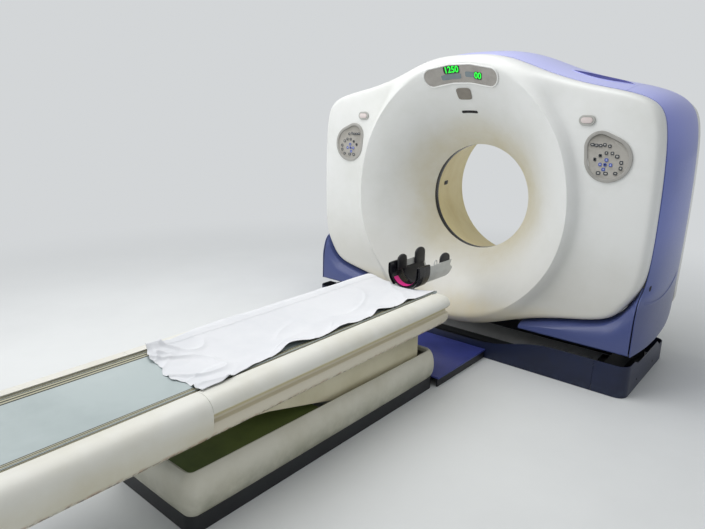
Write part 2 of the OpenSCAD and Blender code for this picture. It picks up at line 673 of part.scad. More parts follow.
module pedestals() {
    color("#6f7780") both_sides() {
        side_plate(pedestal_start, pedestal_t) difference() {
            union() {
                polygon([[136, side_beam_h + 16], [330, side_beam_h + 16], [330, 128], [228, 134],
                    [110, iso_z - 300],
                         [110, iso_z], [-110, iso_z], [-110, iso_z - 330], [122, 445], [136, 178]]);
                translate([0, iso_z]) circle(r = 110);
            }
            translate([0, iso_z]) circle(r = bearing_out_r + seat_gap);
        }
        translate([side_beam[0], 136, side_beam_h]) cube([side_beam[1], 200, 16]);
    }
}
module trunnion_bearings() {
    color("#3b4045") both_sides() translate([pedestal_start - 5, 0, iso_z]) rotate([0, 90, 0])
        ring(trunnion_r + fit_gap, bearing_out_r, pedestal_t + 10);
}
module tilt_drive() {
    start = pedestal_start + pedestal_t + 5;
    housing_t = 75;
    color("#56616b") difference() {
        union() {
            translate([start, 0, iso_z]) rotate([0, 90, 0]) cylinder(r = 98, h = housing_t);
            translate([start + housing_t / 2, 0, iso_z - 360]) cylinder(r = housing_t / 2 - 2, h = 300);
        }
        translate([start - 1, 0, iso_z]) rotate([0, 90, 0]) cylinder(r = trunnion_r + fit_gap, h =
            housing_t + 2);
    }
}
module rounded(x0, y0, x1, y1, r) {
    translate([x0 + r, y0]) square([x1 - x0 - 2 * r, y1 - y0]);
    translate([x0, y0 + r]) square([x1 - x0, y1 - y0 - 2 * r]);
    for (x = [x0 + r, x1 - r], y = [y0 + r, y1 - r]) translate([x, y]) circle(r = r);
}
module base_wall_plan() difference() {
    rounded(-base_half_w, -base_front_d, base_half_w, base_rear_d, base_corner_r);
    rounded(-base_half_w + base_wall, -base_front_d + base_wall, base_half_w - base_wall,
        base_rear_d - base_wall,
            base_corner_r - base_wall);
}
rear_base_z = 120;
side_base_z = 156;
seam = cover_gap / 2;
module base_cover_front() {
    function top(x) = base_low_z + (base_top_z - base_low_z) * eased((abs(x) - 260) / 460);
    end = base_seam_x - seam;
    color(navy) front_plate(-base_front_d, base_wall)
        polygon(concat([[end, 0], [-end, 0]], [for (k = [-13 : 13]) let (x = end * k / 13) [x, top(x)]]));
}
module base_cover_rear() {
    end = base_seam_x - seam;
    color(navy) front_plate(base_rear_d - base_wall, base_wall) translate([-end, 0])
        square([2 * end, rear_base_z]);
}
module base_cover_right() {
    color(navy) intersection() {
        linear_extrude(base_top_z) intersection() {
            base_wall_plan();
            translate([base_seam_x + seam, -base_front_d])
                square([base_half_w - base_seam_x, base_front_d + base_rear_d]);
        }
        side_plate(0, base_half_w + 10) polygon([
            [-base_front_d - 1, -1], [base_rear_d + 1, -1], [base_rear_d + 1, rear_base_z],
                [base_rear_d - 120, rear_base_z],
            [base_rear_d - 180, side_base_z], [-150, side_base_z], [-230, base_top_z + 1],
            [-base_front_d - 1, base_top_z + 1]]);
    }
}
module base_cover_left() mirror([1, 0, 0]) base_cover_right();

duct_half_w = 310;
duct_z = 48;
duct_top_t = 12;
duct_end_d = pillow_front_d + 12;
module cable_duct() {
    color("#101218") translate([-duct_half_w + 6, -duct_end_d, 0]) difference() {
        cube([2 * duct_half_w - 12, duct_end_d - base_front_d - seam, duct_z]);
        translate([10, -1, -1]) cube([2 * duct_half_w - 32, duct_end_d, duct_z - 3]);
    }
}
module duct_cover() {
    color("#3c3a86") translate([-duct_half_w, -duct_end_d, duct_z])
        cube([2 * duct_half_w, duct_end_d - base_front_d - seam, duct_top_t]);
}

// Table base
base_beam_x = 225;
base_beam_h = 55;
deck_end_d = 1830;
post_w = 30;
arm_t = 12;
bracket_x = arm_x + arm_t + 3;
bracket_t = 10;
link_bracket_x = 35;
module table_base_frame() {
    pad = [70, 90, 12];
    color(steel) {
        both_sides() translate([base_beam_x - 25, -pillow_rear_d + 60, 0])
            cube([50, pillow_rear_d - pillow_front_d - 130, base_beam_h]);
        both_sides() for (d = [pillow_rear_d - 60, deck_end_d + 60])
            translate([base_beam_x - post_w / 2, -d, base_beam_h - 1])
            cube([post_w, post_w, deck_z - seat_gap - base_beam_h + 1]);
        for (y = [-pillow_rear_d + 60, -deck_end_d + 30, -leg_low_d - 100]) translate([-base_beam_x, y, 0])
            cube([2 * base_beam_x, 50, 40]);
        both_sides() for (y = [-pillow_rear_d + 130, -1290]) difference() {
            translate([base_beam_x - 25 - pad.x, y, 0]) cube(pad);
            translate([base_beam_x - 25 - pad.x / 2, y + pad.y / 2, -1]) cylinder(r = anchor_r, h = pad.z
                + 2);
        }
        translate([-base_beam_x, -leg_low_d - 45, 0]) cube([2 * base_beam_x, 90, 30]);
        both_sides() side_plate(bracket_x, bracket_t)
            translate([-leg_low_d - 45, 20]) square([90, leg_low_z + 10]);
        both_sides() side_plate(link_bracket_x, bracket_t)
            translate([-link_low_d - 25, 20]) square([50, link_low_z]);
        round_bar([-bracket_x - bracket_t, -leg_low_d, leg_low_z], [bracket_x + bracket_t, -leg_low_d,
            leg_low_z], pivot_r);
        round_bar([-link_bracket_x, -link_low_d, link_low_z], [link_bracket_x, -link_low_d, link_low_z],
            link_pin_r);
    }
}
link_offset = [-20, 60];
link_low_d = leg_low_d - link_offset.x;
link_low_z = leg_low_z + link_offset.y;
link_high_d = leg_high_d - link_offset.x;
link_high_z = leg_high_z + link_offset.y;
link_pin_r = 10;
module table_plinth() {
    inset = 22;
    color("#15171c") linear_extrude(plinth_z) difference() {
        rounded(-pillow_half_w + inset, -pillow_rear_d + inset, pillow_half_w - inset,
            -pillow_front_d - inset + 10, 50);
        rounded(-pillow_half_w + inset + 5, -pillow_rear_d + inset + 5, pillow_half_w - inset - 5,
                -pillow_front_d - inset + 5, 45);
    }
}
// The base cover is one section carried around a rounded plan: how far inside the widest line, and how high
pillow_section = [[22, 0], [6, 22], [0, 70], [7, 118], [20, 146], [34, 158], [46, 152], [50, 135]];
pillow_lift = 18;
pillow_plan_r = 70;
plan_steps = 4;
function plan_point(k, inset) =
    let (corner = floor(k / (plan_steps + 1)), a = 90 * (corner + (k % (plan_steps + 1)) / plan_steps),
         sx = (corner == 0 || corner == 3) ? 1 : -1, sy = corner < 2 ? 1 : -1,
         x = pillow_half_w - pillow_plan_r, far = sy > 0 ? -pillow_front_d - pillow_plan_r : -pillow_rear_d
             + pillow_plan_r,
         r = max(6, pillow_plan_r - inset), shift = pillow_plan_r - inset - r)
    [sx * (x + shift) + r * cos(a), far + sy * shift + r * sin(a)];
pillow_share = (pillow_z - plinth_z) / pillow_section[5].y;
deck_z = plinth_z + pillow_section[7].y * (pillow_share + pillow_lift / pillow_section[5].y);
function far_share(y) = (-pillow_front_d - y) / (pillow_rear_d - pillow_front_d);
pillow_grid = [for (row = pillow_section) [for (k = [0 : 4 * (plan_steps + 1) - 1])
    let (p = plan_point(k, row.x))
    [p.x, p.y, plinth_z + row.y * (pillow_share + pillow_lift / pillow_section[5].y * far_share(p.y))]]];
module table_base_cover() {
    inset = pillow_section[7].x + seat_gap;
    color(cream) moulding([for (i = [len(pillow_grid) - 1 : -1 : 0]) pillow_grid[i]], table_wall, loop =
        true);
    color("#8f9272") translate([0, 0, deck_z]) linear_extrude(4)
        rounded(-pillow_half_w + inset, -pillow_rear_d + inset, pillow_half_w - inset, -deck_end_d, 8);
}

// Lifting leg
arm_r = 24;
link_r = 18;
module between_pivots(low, high, r_out, r_low, r_high) translate(low) difference() {
    belt_shape(r_out, high - low, r_out);
    circle(r = r_low);
    translate(high - low) circle(r = r_high);
}
leg_low = [-leg_low_d, leg_low_z];
leg_high = [-leg_high_d, leg_high_z];
link_low = [-link_low_d, link_low_z];
link_high = [-link_high_d, link_high_z];
module leg_arms() {
    middle = (leg_low + leg_high) / 2;
    color(steel) {
        both_sides() side_plate(arm_x, arm_t)
            between_pivots(leg_low, leg_high, arm_r, pivot_r + fit_gap, pivot_r + fit_gap);
        for (p = [middle, middle * 0.5 + leg_low * 0.5])
            round_bar([-arm_x, p.x, p.y], [arm_x, p.x, p.y], 12);
        both_sides() translate([arm_x + arm_t, middle.x - 60, middle.y - 10])
            cube([leg_cover_x - arm_x - arm_t - seat_gap, 120, 20]);
    }
}
leg_cover_t = 5;
leg_cover_x = pillow_half_w - pillow_section[7].x - table_wall - 4 - leg_cover_t;
leg_cover_rear_d = leg_high_d + 50;
module leg_cover() {
    rear = -leg_cover_rear_d;
    gantry_end = -leg_low_d - 20;
    under = [[rear, table_low_z - 18], [-2120, 326], [-1690, 212], [-1330, 132]];
    roof = [[gantry_end, table_low_z - 36], [rear, table_low_z - 8]];
    color(cream) {
        both_sides() side_plate(leg_cover_x, leg_cover_t)
            polygon(concat(under, [[-1100, 92], [gantry_end, 98]], roof));
        side_plate(-leg_cover_x, 2 * leg_cover_x)
            polygon(concat(under, [for (i = [len(under) - 1 : -1 : 0]) under[i] + [0, leg_cover_t]]));
    }
}
module level_link() {
    open_pivot_gap = 0.6;
    color("#b9bec2") {
        side_plate(-12, 24) between_pivots(link_low, link_high, link_r, link_pin_r + fit_gap, link_pin_r
            + open_pivot_gap);
    }
}

// Table top
beam_x = 175;
beam_w = 50;
frame_z = leg_high_z;
frame_h = 66;
rail_h = 18;
table_end_d = cradle_end_d + cradle_l + 110;
frame_start_d = cradle_end_d + 60;
module table_frame() {
    color(steel) {
        both_sides() {
            translate([beam_x, -table_end_d + 150, frame_z])
                cube([beam_w, table_end_d - 150 - frame_start_d, frame_h]);
            translate([beam_x + 13, -table_end_d + 160, frame_z + frame_h])
                cube([24, table_end_d - 170 - frame_start_d, rail_h]);
            side_plate(bracket_x, bracket_t) translate([-leg_high_d - 40, leg_high_z - arm_r + 4])
                square([80, arm_r + frame_h - 4]);
            translate([bracket_x, -leg_high_d - 40, frame_z + 20])
                cube([beam_x - bracket_x + 1, 80, frame_h - 30]);
            side_plate(link_bracket_x, bracket_t) translate([-link_high_d - 120, link_high_z - 24])
                square([150, 40]);
        }
        for (d = [frame_start_d + 20, 1500, 1720, link_high_d + 80, table_end_d - 210])
            translate([-beam_x - 1, -d - 40, frame_z + 4]) cube([2 * beam_x + 2, 40, 40]);
        round_bar([-bracket_x - bracket_t, -leg_high_d, leg_high_z], [-arm_x + 1, -leg_high_d, leg_high_z],
            pivot_r);
        round_bar([arm_x - 1, -leg_high_d, leg_high_z], [bracket_x + bracket_t, -leg_high_d, leg_high_z],
            pivot_r);
        round_bar([-link_bracket_x, -link_high_d, link_high_z], [link_bracket_x, -link_high_d,
            link_high_z], link_pin_r);
        for (d = [frame_start_d + 20, 1720, link_high_d + 80, table_end_d - 210]) both_sides()
            translate([beam_x + beam_w, -d - 40, frame_z + 10])
                cube([table_half_w - 34 - beam_x - beam_w, 40, 12]);
    }
}
// Sections of the table's covers: how far inside the widest line, and the height above the lower edge
cover_section = [[90, 158], [68, 161], [38, 156], [14, 142], [2, 122], [3, 106], [12, 98], [27, 94],
    [30, 80], [27, 66],
                 [12, 60], [8, 48], [12, 24], [24, 8], [38, 0]];
rear_section = [[90, 158], [68, 161], [38, 156], [14, 142], [1, 120], [0, 90], [2, 50], [14, 18], [34, 0]];
corner_steps = 3;
function cover_corner(inset, a) =
    let (r = max(4, table_corner_r - inset), shift = table_corner_r - inset - r)
    [table_half_w - table_corner_r + shift + r * cos(a), table_corner_r - shift - r * sin(a)];
function side_column(row, k) =
    let (c = cover_corner(row[0], 90 * max(0, min(k, corner_steps)) / corner_steps), z = table_low_z
        + row[1])
    k < 0 ? [c.x, -table_joint_d + cover_gap, z]
          : [k > corner_steps && row[0] < 50 ? cradle_half_w + 10 : c.x - (k > corner_steps ? 2 : 0),
              -cradle_end_d - c.y, z];
module table_cover_right() {
    color(white) moulding([for (k = [-1 : corner_steps + 1]) [for (row = cover_section) side_column(row,
        k)]], table_wall);
}
module table_cover_left() mirror([1, 0, 0]) table_cover_right();
module table_front_cover() {
    rows = [for (i = [4 : len(cover_section) - 1]) cover_section[i]];
    end = cradle_half_w + 10 - cover_gap;
    lip = [cover_section[4] + [40, -20], cover_section[4] + [6, -15]];
    color(white) moulding([for (x = [end, -end])
        [for (row = concat(lip, [for (i = [1 : len(rows) - 1]) rows[i]]))
            [x, -cradle_end_d - row[0], table_low_z + row[1]]]], table_wall);
}
module table_rear_cover() {
    function column(row, k) =
        let (right = k <= corner_steps + 1, m = right ? k : 2 * corner_steps + 3 - k,
             c = cover_corner(row[0], 90 * max(0, min(m - 1, corner_steps)) / corner_steps))
        [(right ? 1 : -1) * c.x, m == 0 ? -table_joint_d : -table_end_d + c.y, table_low_z + row[1]];
    color(white) moulding([for (k = [2 * corner_steps + 3 : -1 : 0]) [for (row = rear_section) column(row,
        k)]], table_wall);
}

// Cradle: its top is a shallow arc
cradle_arc_r = (pow(cradle_half_w, 2) + pow(cradle_dip, 2)) / (2 * cradle_dip);
cradle_arc_z = cradle_z - cradle_dip + cradle_arc_r;
module arc_band(half_w, r_in, r_out, $fn = 400) intersection() {
    translate([0, cradle_arc_z]) difference() {
        circle(r = r_out);
        circle(r = r_in);
    }
    translate([-half_w, cradle_z - 100]) square([2 * half_w, 140]);
}
module cradle() {
    rib_w = 24;
    rib_z = frame_z + frame_h + rail_h + seat_gap;
    color("#bcc6c8") {
        front_plate(-cradle_end_d - cradle_l, cradle_l) arc_band(cradle_half_w, cradle_arc_r, cradle_arc_r
            + cradle_t);
        both_sides() translate([beam_x + 13, -cradle_end_d - cradle_l + 40, rib_z])
            cube([rib_w, cradle_l - 370, cradle_z - cradle_t - 2 - rib_z]);
    }
}
module accessory_rails() {
    inner_x = cradle_half_w + 0.5;
    outer_x = table_half_w - cover_section[0].x - seat_gap;
    color("#2c2b28") both_sides() translate([inner_x, -cradle_end_d - cradle_l + 40, cradle_z - 19])
        cube([outer_x - inner_x, cradle_l - 95, 17]);
}
module cradle_drive() {
    motor_r = 22;
    color("#4b5157") {
        translate([-90, -table_end_d + 190, frame_z + 44 + motor_r]) rotate([0, 90, 0])
            cylinder(r = motor_r, h = 180);
        translate([-60, -table_end_d + 172, frame_z + 44]) cube([120, 36, 12]);
    }
}

// Head holder: a trough that stands out from the cradle's end
trough_z = cradle_z - cradle_dip + holder_half_w - 8;
trough_side = 30;
module trough_section(r_out, r_in) translate([0, trough_z]) {
    difference() {
        circle(r = r_out);
        circle(r = r_in);
        translate([-r_out, 0]) square([2 * r_out, r_out]);
    }
    for (s = [-1, 1]) translate([s * (r_in + r_out) / 2 - (r_out - r_in) / 2, 0])
        square([r_out - r_in, trough_side]);
}
module head_holder() {
    tongue_l = 80;
    tongue_t = 3;
    tongue_z = cradle_z - cradle_dip - cradle_t - seat_gap - tongue_t;
    bottom = trough_z - holder_half_w;
    color("#c9cac6") {
        difference() {
            front_plate(-cradle_end_d + seat_gap, holder_l)
                trough_section(holder_half_w, holder_half_w - holder_wall);
            translate([0, -cradle_end_d + holder_l - 30, trough_z]) rotate([-35, 0, 0])
                translate([-holder_half_w - 5, 0, 0]) cube([2 * holder_half_w + 10, 200, 200]);
        }
        translate([-60, -cradle_end_d - tongue_l, tongue_z])
            cube([120, tongue_l + seat_gap + holder_wall, tongue_t]);
        translate([-60, -cradle_end_d + seat_gap, tongue_z])
            cube([120, holder_wall, bottom + 12 - tongue_z]);
    }
}
ear_w = 66;
ear_t = 16;
ear_h = 42;
module ear(side, d) {
    x = side > 0 ? holder_half_w - holder_wall - ear_t - seat_gap : -holder_half_w + holder_wall + seat_gap;
    color("#1b1c1f") side_plate(x, ear_t) translate([-d, trough_z + 4]) {
        translate([-ear_w / 2, 0]) square([ear_w, ear_h]);
        translate([0, ear_h]) circle(r = ear_w / 2);
    }
}
module head_holder_pads() {
    color("#1b1c1f") front_plate(-cradle_end_d + 10, holder_l - 30) intersection() {
        trough_section(holder_half_w - holder_wall - seat_gap, holder_half_w - holder_wall - 12);
        translate([-holder_half_w, trough_z - holder_half_w]) square([2 * holder_half_w, holder_half_w]);
    }
    ear(-1, cradle_end_d - 60);
    ear(-1, cradle_end_d - 290);
    ear(1, cradle_end_d - 290);
}
module sheet() {
    sheet_l = 1640;
    sheet_t = 3;
    sheet_start = 12;
    color("#f2f3f5") front_plate(-cradle_end_d - sheet_start - sheet_l, sheet_l)
        arc_band(cradle_half_w - 6, cradle_arc_r - seat_gap - sheet_t, cradle_arc_r - seat_gap);
}

base_frame();
pedestals();
trunnion_bearings();
tilt_drive();
base_cover_front();
base_cover_left();
base_cover_right();
base_cover_rear();
cable_duct();
duct_cover();
tilt_frame();
trunnion_shafts();
main_bearing();
front_cover();
bore_flare();
rear_cover();
top_cover();
side_cover_left();
side_cover_right();
lower_cover_left();
lower_cover_right();
scan_window();
rear_tunnel();
gantry_display();
positioning_light_lens();
intercom_grille();
control_panel_left();
control_panel_right();
stop_bezels();
stop_button_left();
stop_button_right();
drive_motor();
drive_belt();
motor_pulley();
slip_ring_brushes();
rotor_drum();
slip_ring();
xray_tube();
collimator();
detector_array();
high_voltage_tanks();
heat_exchanger();
counterweights();
table_base_frame();
table_plinth();
table_base_cover();
leg_arms();
leg_cover();
level_link();
table_frame();
table_cover_left();
table_cover_right();
table_front_cover();
table_rear_cover();
cradle_drive();
cradle();
accessory_rails();
head_holder();
head_holder_pads();
sheet();
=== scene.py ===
import json
import math
import bpy
from mathutils import Matrix, Vector, noise

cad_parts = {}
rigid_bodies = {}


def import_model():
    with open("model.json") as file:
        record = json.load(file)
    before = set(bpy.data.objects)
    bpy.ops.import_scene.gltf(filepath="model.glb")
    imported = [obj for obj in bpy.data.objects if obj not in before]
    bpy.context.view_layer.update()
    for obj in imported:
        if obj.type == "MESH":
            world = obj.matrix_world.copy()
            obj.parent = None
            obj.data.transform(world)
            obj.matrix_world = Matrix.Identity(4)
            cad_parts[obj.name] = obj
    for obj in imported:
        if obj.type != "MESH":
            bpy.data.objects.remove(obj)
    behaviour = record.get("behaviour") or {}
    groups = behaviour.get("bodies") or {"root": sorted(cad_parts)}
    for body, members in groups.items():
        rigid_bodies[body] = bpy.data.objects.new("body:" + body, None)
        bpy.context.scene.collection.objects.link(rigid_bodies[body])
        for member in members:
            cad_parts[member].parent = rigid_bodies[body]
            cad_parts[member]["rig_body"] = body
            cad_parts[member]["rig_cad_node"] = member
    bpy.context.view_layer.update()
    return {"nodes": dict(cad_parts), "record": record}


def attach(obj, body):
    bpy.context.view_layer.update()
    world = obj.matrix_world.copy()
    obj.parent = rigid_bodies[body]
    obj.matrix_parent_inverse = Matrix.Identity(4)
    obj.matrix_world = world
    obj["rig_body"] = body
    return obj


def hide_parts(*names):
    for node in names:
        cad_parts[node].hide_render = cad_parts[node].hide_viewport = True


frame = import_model()
nodes = frame["nodes"]
bodies = frame["record"]["behaviour"]["bodies"]
body_of = {node: body for body, members in bodies.items() for node in members}

# Lengths are in metres. Right is +X, as seen from the table; the gantry's front looks along -Y
MM = 0.001
BORE_Z = 0.97
WING_Y = -0.306
SMOOTH = math.radians(40)


# Camera: where the photograph was taken from, solved from its circles and straight edges
def aim_camera(place, yaw, pitch, roll, lens):
    """Angles in radians: yaw from the Y axis, pitch downwards, roll round the line of sight. The lens is in
    millimetres."""
    forward = Vector((-math.sin(yaw) * math.cos(pitch), math.cos(yaw) * math.cos(pitch), -math.sin(pitch)))
    level = Vector((math.cos(yaw), math.sin(yaw), 0))
    down = forward.cross(level)
    right = math.cos(roll) * level + math.sin(roll) * down
    up = math.sin(roll) * level - math.cos(roll) * down
    turn = Matrix((right, up, -forward)).transposed()
    bpy.ops.object.camera_add(location=place, rotation=turn.to_euler())
    camera = bpy.context.active_object
    camera.data.lens = lens
    camera.data.clip_end = 100
    bpy.context.scene.camera = camera


aim_camera((1.875, -3.523, 1.525), yaw=0.7045, pitch=0.2616, roll=-0.0134, lens=29.41)
bpy.context.scene.view_settings.view_transform = "Standard"


# Materials
def linear(code):
    """A colour written as #rrggbb, in linear light."""
    parts = [int(code[i:i + 2], 16) / 255 for i in (1, 3, 5)]
    return [p / 12.92 if p <= 0.04045 else ((p + 0.055) / 1.055) ** 2.4 for p in parts] + [1]


def put(tree, kind, sockets=None, **settings):
    """Adds a shader node; a socket is given a value, or a node and the name of its output."""
    node = tree.nodes.new(kind)
    for key, value in settings.items():
        setattr(node, key, value)
    for key, value in (sockets or {}).items():
        if isinstance(value, tuple) and isinstance(value[0], bpy.types.Node):
            tree.links.new(value[0].outputs[value[1]], node.inputs[key])
        else:
            node.inputs[key].default_value = value
    return node


def surface(name, light, deep, rough, grain=3.0, bump=0.05, cloud=220.0, metallic=0.0, coat=0.0):
    """A surface in two near tones. Grain, bump depth and the size of the tone's clouds are in millimetres."""
    mat = bpy.data.materials.new(name)
    mat.use_nodes = True
    tree = mat.node_tree
    shader = tree.nodes["Principled BSDF"]
    shader.inputs["Metallic"].default_value = metallic
    shader.inputs["Coat Weight"].default_value = coat
    place = put(tree, "ShaderNodeTexCoord")
    fine = put(tree, "ShaderNodeTexNoise", {
        "Vector": (place, "Object"), "Scale": 1 / (grain * MM), "Detail": 3})
    broad = put(tree, "ShaderNodeTexNoise", {
        "Vector": (place, "Object"), "Scale": 1 / (cloud * MM), "Detail": 6, "Roughness": 0.62})
    share = put(tree, "ShaderNodeMapRange", {"Value": (broad, "Fac"), "From Min": 0.42, "From Max": 0.78})
    tone = put(tree, "ShaderNodeMixRGB", {
        "Fac": (share, "Result"), "Color1": linear(light), "Color2": linear(deep)})
    shine = put(tree, "ShaderNodeMapRange", {
        "Value": (fine, "Fac"), "From Min": 0.3, "From Max": 0.7, "To Min": rough[0], "To Max": rough[1]})
    relief = put(tree, "ShaderNodeBump", {"Height": (fine, "Fac"), "Strength": 0.6, "Distance": bump * MM})
    tree.links.new(tone.outputs["Color"], shader.inputs["Base Color"])
    tree.links.new(shine.outputs["Result"], shader.inputs["Roughness"])
    tree.links.new(relief.outputs["Normal"], shader.inputs["Normal"])
    return mat


def lay_over(mat, share, colour):
    """Mixes a colour over a material's own. The share is a node and the name of its output; the colour is the
    same or a plain value."""
    tree = mat.node_tree
    shader = tree.nodes["Principled BSDF"]
    below = shader.inputs["Base Color"].links[0].from_socket
    laid = put(tree, "ShaderNodeMixRGB", {"Fac": share, "Color2": colour})
    tree.links.new(below, laid.inputs["Color1"])
    tree.links.new(laid.outputs["Color"], shader.inputs["Base Color"])


def tint(mat, colour, low, high, patch, cut, most, middle=None):
    """Lays a second colour over a material from low to high, up the Z axis or, if a middle is given, by the
    distance from the line through that height parallel to Y. A noise breaks it up, with its patch size in
    millimetres: nothing shows where the noise is under the first cut, and most of it over the second."""
    tree = mat.node_tree
    place = put(tree, "ShaderNodeTexCoord")
    split = put(tree, "ShaderNodeSeparateXYZ", {"Vector": (place, "Object")})
    if middle is None:
        reach = (split, "Z")
    else:
        moved = put(tree, "ShaderNodeMath", {0: (split, "Z"), 1: middle}, operation="SUBTRACT")
        flat = put(tree, "ShaderNodeCombineXYZ", {"X": (split, "X"), "Y": (moved, "Value")})
        reach = (put(tree, "ShaderNodeVectorMath", {0: (flat, "Vector")}, operation="LENGTH"), "Value")
    near = put(tree, "ShaderNodeMapRange", {"Value": reach, "From Min": low, "From Max": high},
               interpolation_type="SMOOTHSTEP")
    spots = put(tree, "ShaderNodeTexNoise", {
        "Vector": (place, "Object"), "Scale": 1 / (patch * MM), "Detail": 6, "Roughness": 0.65})
    broken = put(tree, "ShaderNodeMapRange", {
        "Value": (spots, "Fac"), "From Min": cut[0], "From Max": cut[1], "To Max": most})
    both = put(tree, "ShaderNodeMath", {0: (near, "Result"), 1: (broken, "Result")}, operation="MULTIPLY")
    lay_over(mat, (both, "Value"), linear(colour))


def stripes(mat, colour, ground, pitch, wide, low, high):
    """Lines along Y on a ground of their own, where the distance from the middle is between low and high."""
    blur = 0.4 * MM
    tree = mat.node_tree
    place = put(tree, "ShaderNodeTexCoord")
    split = put(tree, "ShaderNodeSeparateXYZ", {"Vector": (place, "Object")})
    away = put(tree, "ShaderNodeMath", {0: (split, "X")}, operation="ABSOLUTE")
    past = put(tree, "ShaderNodeMath", {0: (away, "Value"), 1: low}, operation="GREATER_THAN")
    short = put(tree, "ShaderNodeMath", {0: (away, "Value"), 1: high}, operation="LESS_THAN")
    strip = put(tree, "ShaderNodeMath", {0: (past, "Value"), 1: (short, "Value")}, operation="MULTIPLY")
    wave = put(tree, "ShaderNodeMath", {0: (away, "Value"), 1: pitch / 2}, operation="PINGPONG")
    line = put(tree, "ShaderNodeMapRange", {
        "Value": (wave, "Value"), "From Min": wide / 2, "From Max": wide / 2 + blur,
        "To Min": 1.0, "To Max": 0.0})
    both = put(tree, "ShaderNodeMixRGB", {
        "Fac": (line, "Result"), "Color1": linear(ground), "Color2": linear(colour)})
    lay_over(mat, (strip, "Value"), (both, "Color"))


# Gantry covers: glass-fibre mouldings under satin paint, yellowed where hands and the sun reach, with painted
# shade low down and painted light on the lavender's top
gantry_white = surface(
    "painted_fibreglass_white", "#e9eae8", "#dedfda", (0.30, 0.42),
    grain=4, bump=0.04, cloud=420, coat=0.15)
tint(gantry_white, "#cfc08c", 0.60, 0.34, patch=420, cut=(0.15, 0.65), most=0.55, middle=BORE_Z)
# Painted shade: the white turns greyer below the bore's height, down to the lower wing
tint(gantry_white, "#bab5a8", 0.95, 0.42, patch=700, cut=(-0.3, 0.5), most=0.4)
tint(gantry_white, "#d3c18c", 0.44, 0.30, patch=330, cut=(0.2, 0.7), most=0.6)
gantry_lavender = surface(
    "painted_fibreglass_lavender", "#6272c2", "#5869b6", (0.30, 0.42),
    grain=4, bump=0.04, cloud=420, coat=0.15)
# Painted light and shade: paler towards the top where the ceiling lamps fall, darker down the sides and
# darkest on the lower covers
tint(gantry_lavender, "#929ae2", 1.20, 1.56, patch=500, cut=(-0.4, 0.2), most=1.0)
tint(gantry_lavender, "#c4c7f5", 1.48, 1.74, patch=500, cut=(-0.4, 0.2), most=0.9)
tint(gantry_lavender, "#566292", 1.05, 0.55, patch=300, cut=(-0.1, 0.5), most=0.75)
tint(gantry_lavender, "#424d80", 0.60, 0.48, patch=300, cut=(-0.2, 0.4), most=0.9)
# The tunnel's moulded ABS liner, and the polyester film over the slot that the beam passes through
tunnel_beige = surface("moulded_abs_beige", "#efe3b4", "#e2d29b", (0.35, 0.5), grain=3, bump=0.04, cloud=180)
window_black = surface(
    "polyester_film_black", "#1b1b1d", "#262628", (0.18, 0.3), grain=2, bump=0.02, cloud=90)
# The air vents' moulded ABS slats, and the well behind them, painted dark indigo as shade in the recess
vent_slat = surface("moulded_abs_violet", "#6a6cb8", "#5b5da6", (0.45, 0.6), grain=2, bump=0.05, cloud=60)
vent_well_shade = surface("vent_well_painted_shade", "#2b2f86", "#1f2368", (0.45, 0.6), grain=2, bump=0.06, cloud=60)
# Gantry base: powder-coated sheet steel, scuffed low down where feet and mops touch it
base_navy = surface("powder_coat_navy", "#0c1a3e", "#08122c", (0.35, 0.5), grain=1.6, bump=0.06, cloud=240)
tint(base_navy, "#3a465c", 0.06, 0.0, patch=40, cut=(0.45, 0.7), most=0.5)
# Cable duct: a plate covered with vinyl floor sheet, in a powder-coated steel channel
duct_blue = surface("vinyl_sheet_blue", "#3d4690", "#303878", (0.3, 0.45), grain=2.5, bump=0.08, cloud=160)
duct_black = surface("powder_coat_black", "#15171d", "#0e1014", (0.35, 0.5), grain=1.6, bump=0.05)


# Table covers: the same painted mouldings, older and creamier, with painted shade down the side and paint
# knocked off the lower lip
def table_paint(name, grooved):
    """The paint of the table's covers, with painted shade down the side; a grooved one is darker and yellower
    in the groove along its side, and back to its own pale tone on the lip below.
    """
    paint = surface(name, "#ecebe3", "#e0ddcf", (0.32, 0.46), grain=4, bump=0.05, cloud=300, coat=0.1)
    # Painted shade: darker and yellower down the side, below 0.52 m
    tint(paint, "#cbc19c", 0.520, 0.415, patch=260, cut=(0.0, 0.6), most=0.55)
    if grooved:
        # Darker and yellower in the groove, then the paint's own pale tone again on the lip below it
        tint(paint, "#bfae62", 0.490, 0.478, patch=200, cut=(-0.1, 0.4), most=0.6)
        tint(paint, "#e2dbcb", 0.463, 0.452, patch=200, cut=(-0.2, 0.3), most=0.8)
    tint(paint, "#a9743c", 0.412, 0.392, patch=45, cut=(0.48, 0.6), most=0.5)
    tint(paint, "#4f3f2c", 0.400, 0.386, patch=17, cut=(0.50, 0.56), most=0.85)
    return paint


table_white = table_paint("painted_fibreglass_table_end", False)
table_grooved = table_paint("painted_fibreglass_table_side", True)
# Table base: a painted glass-fibre cover with an olive deck in it, sheet-metal leg cover, steel plinth
pillow_cream = surface(
    "painted_fibreglass_cream", "#dedbcc", "#ccc8b4", (0.4, 0.55), grain=4, bump=0.05, cloud=260)
# Painted shade, with some dirt: the cover turns darker towards the floor
tint(pillow_cream, "#7d7f69", 0.215, 0.07, patch=200, cut=(0.2, 0.6), most=0.75)
deck_olive = surface("painted_sheet_olive", "#6f7f45", "#5c6a39", (0.45, 0.6), grain=3, bump=0.06, cloud=180)
leg_cream = surface("painted_sheet_cream", "#dcd5b8", "#cdc5a4", (0.4, 0.55), grain=3, bump=0.05, cloud=200)
plinth_black = surface("painted_steel_black", "#17191d", "#23262b", (0.45, 0.6), grain=2, bump=0.06)
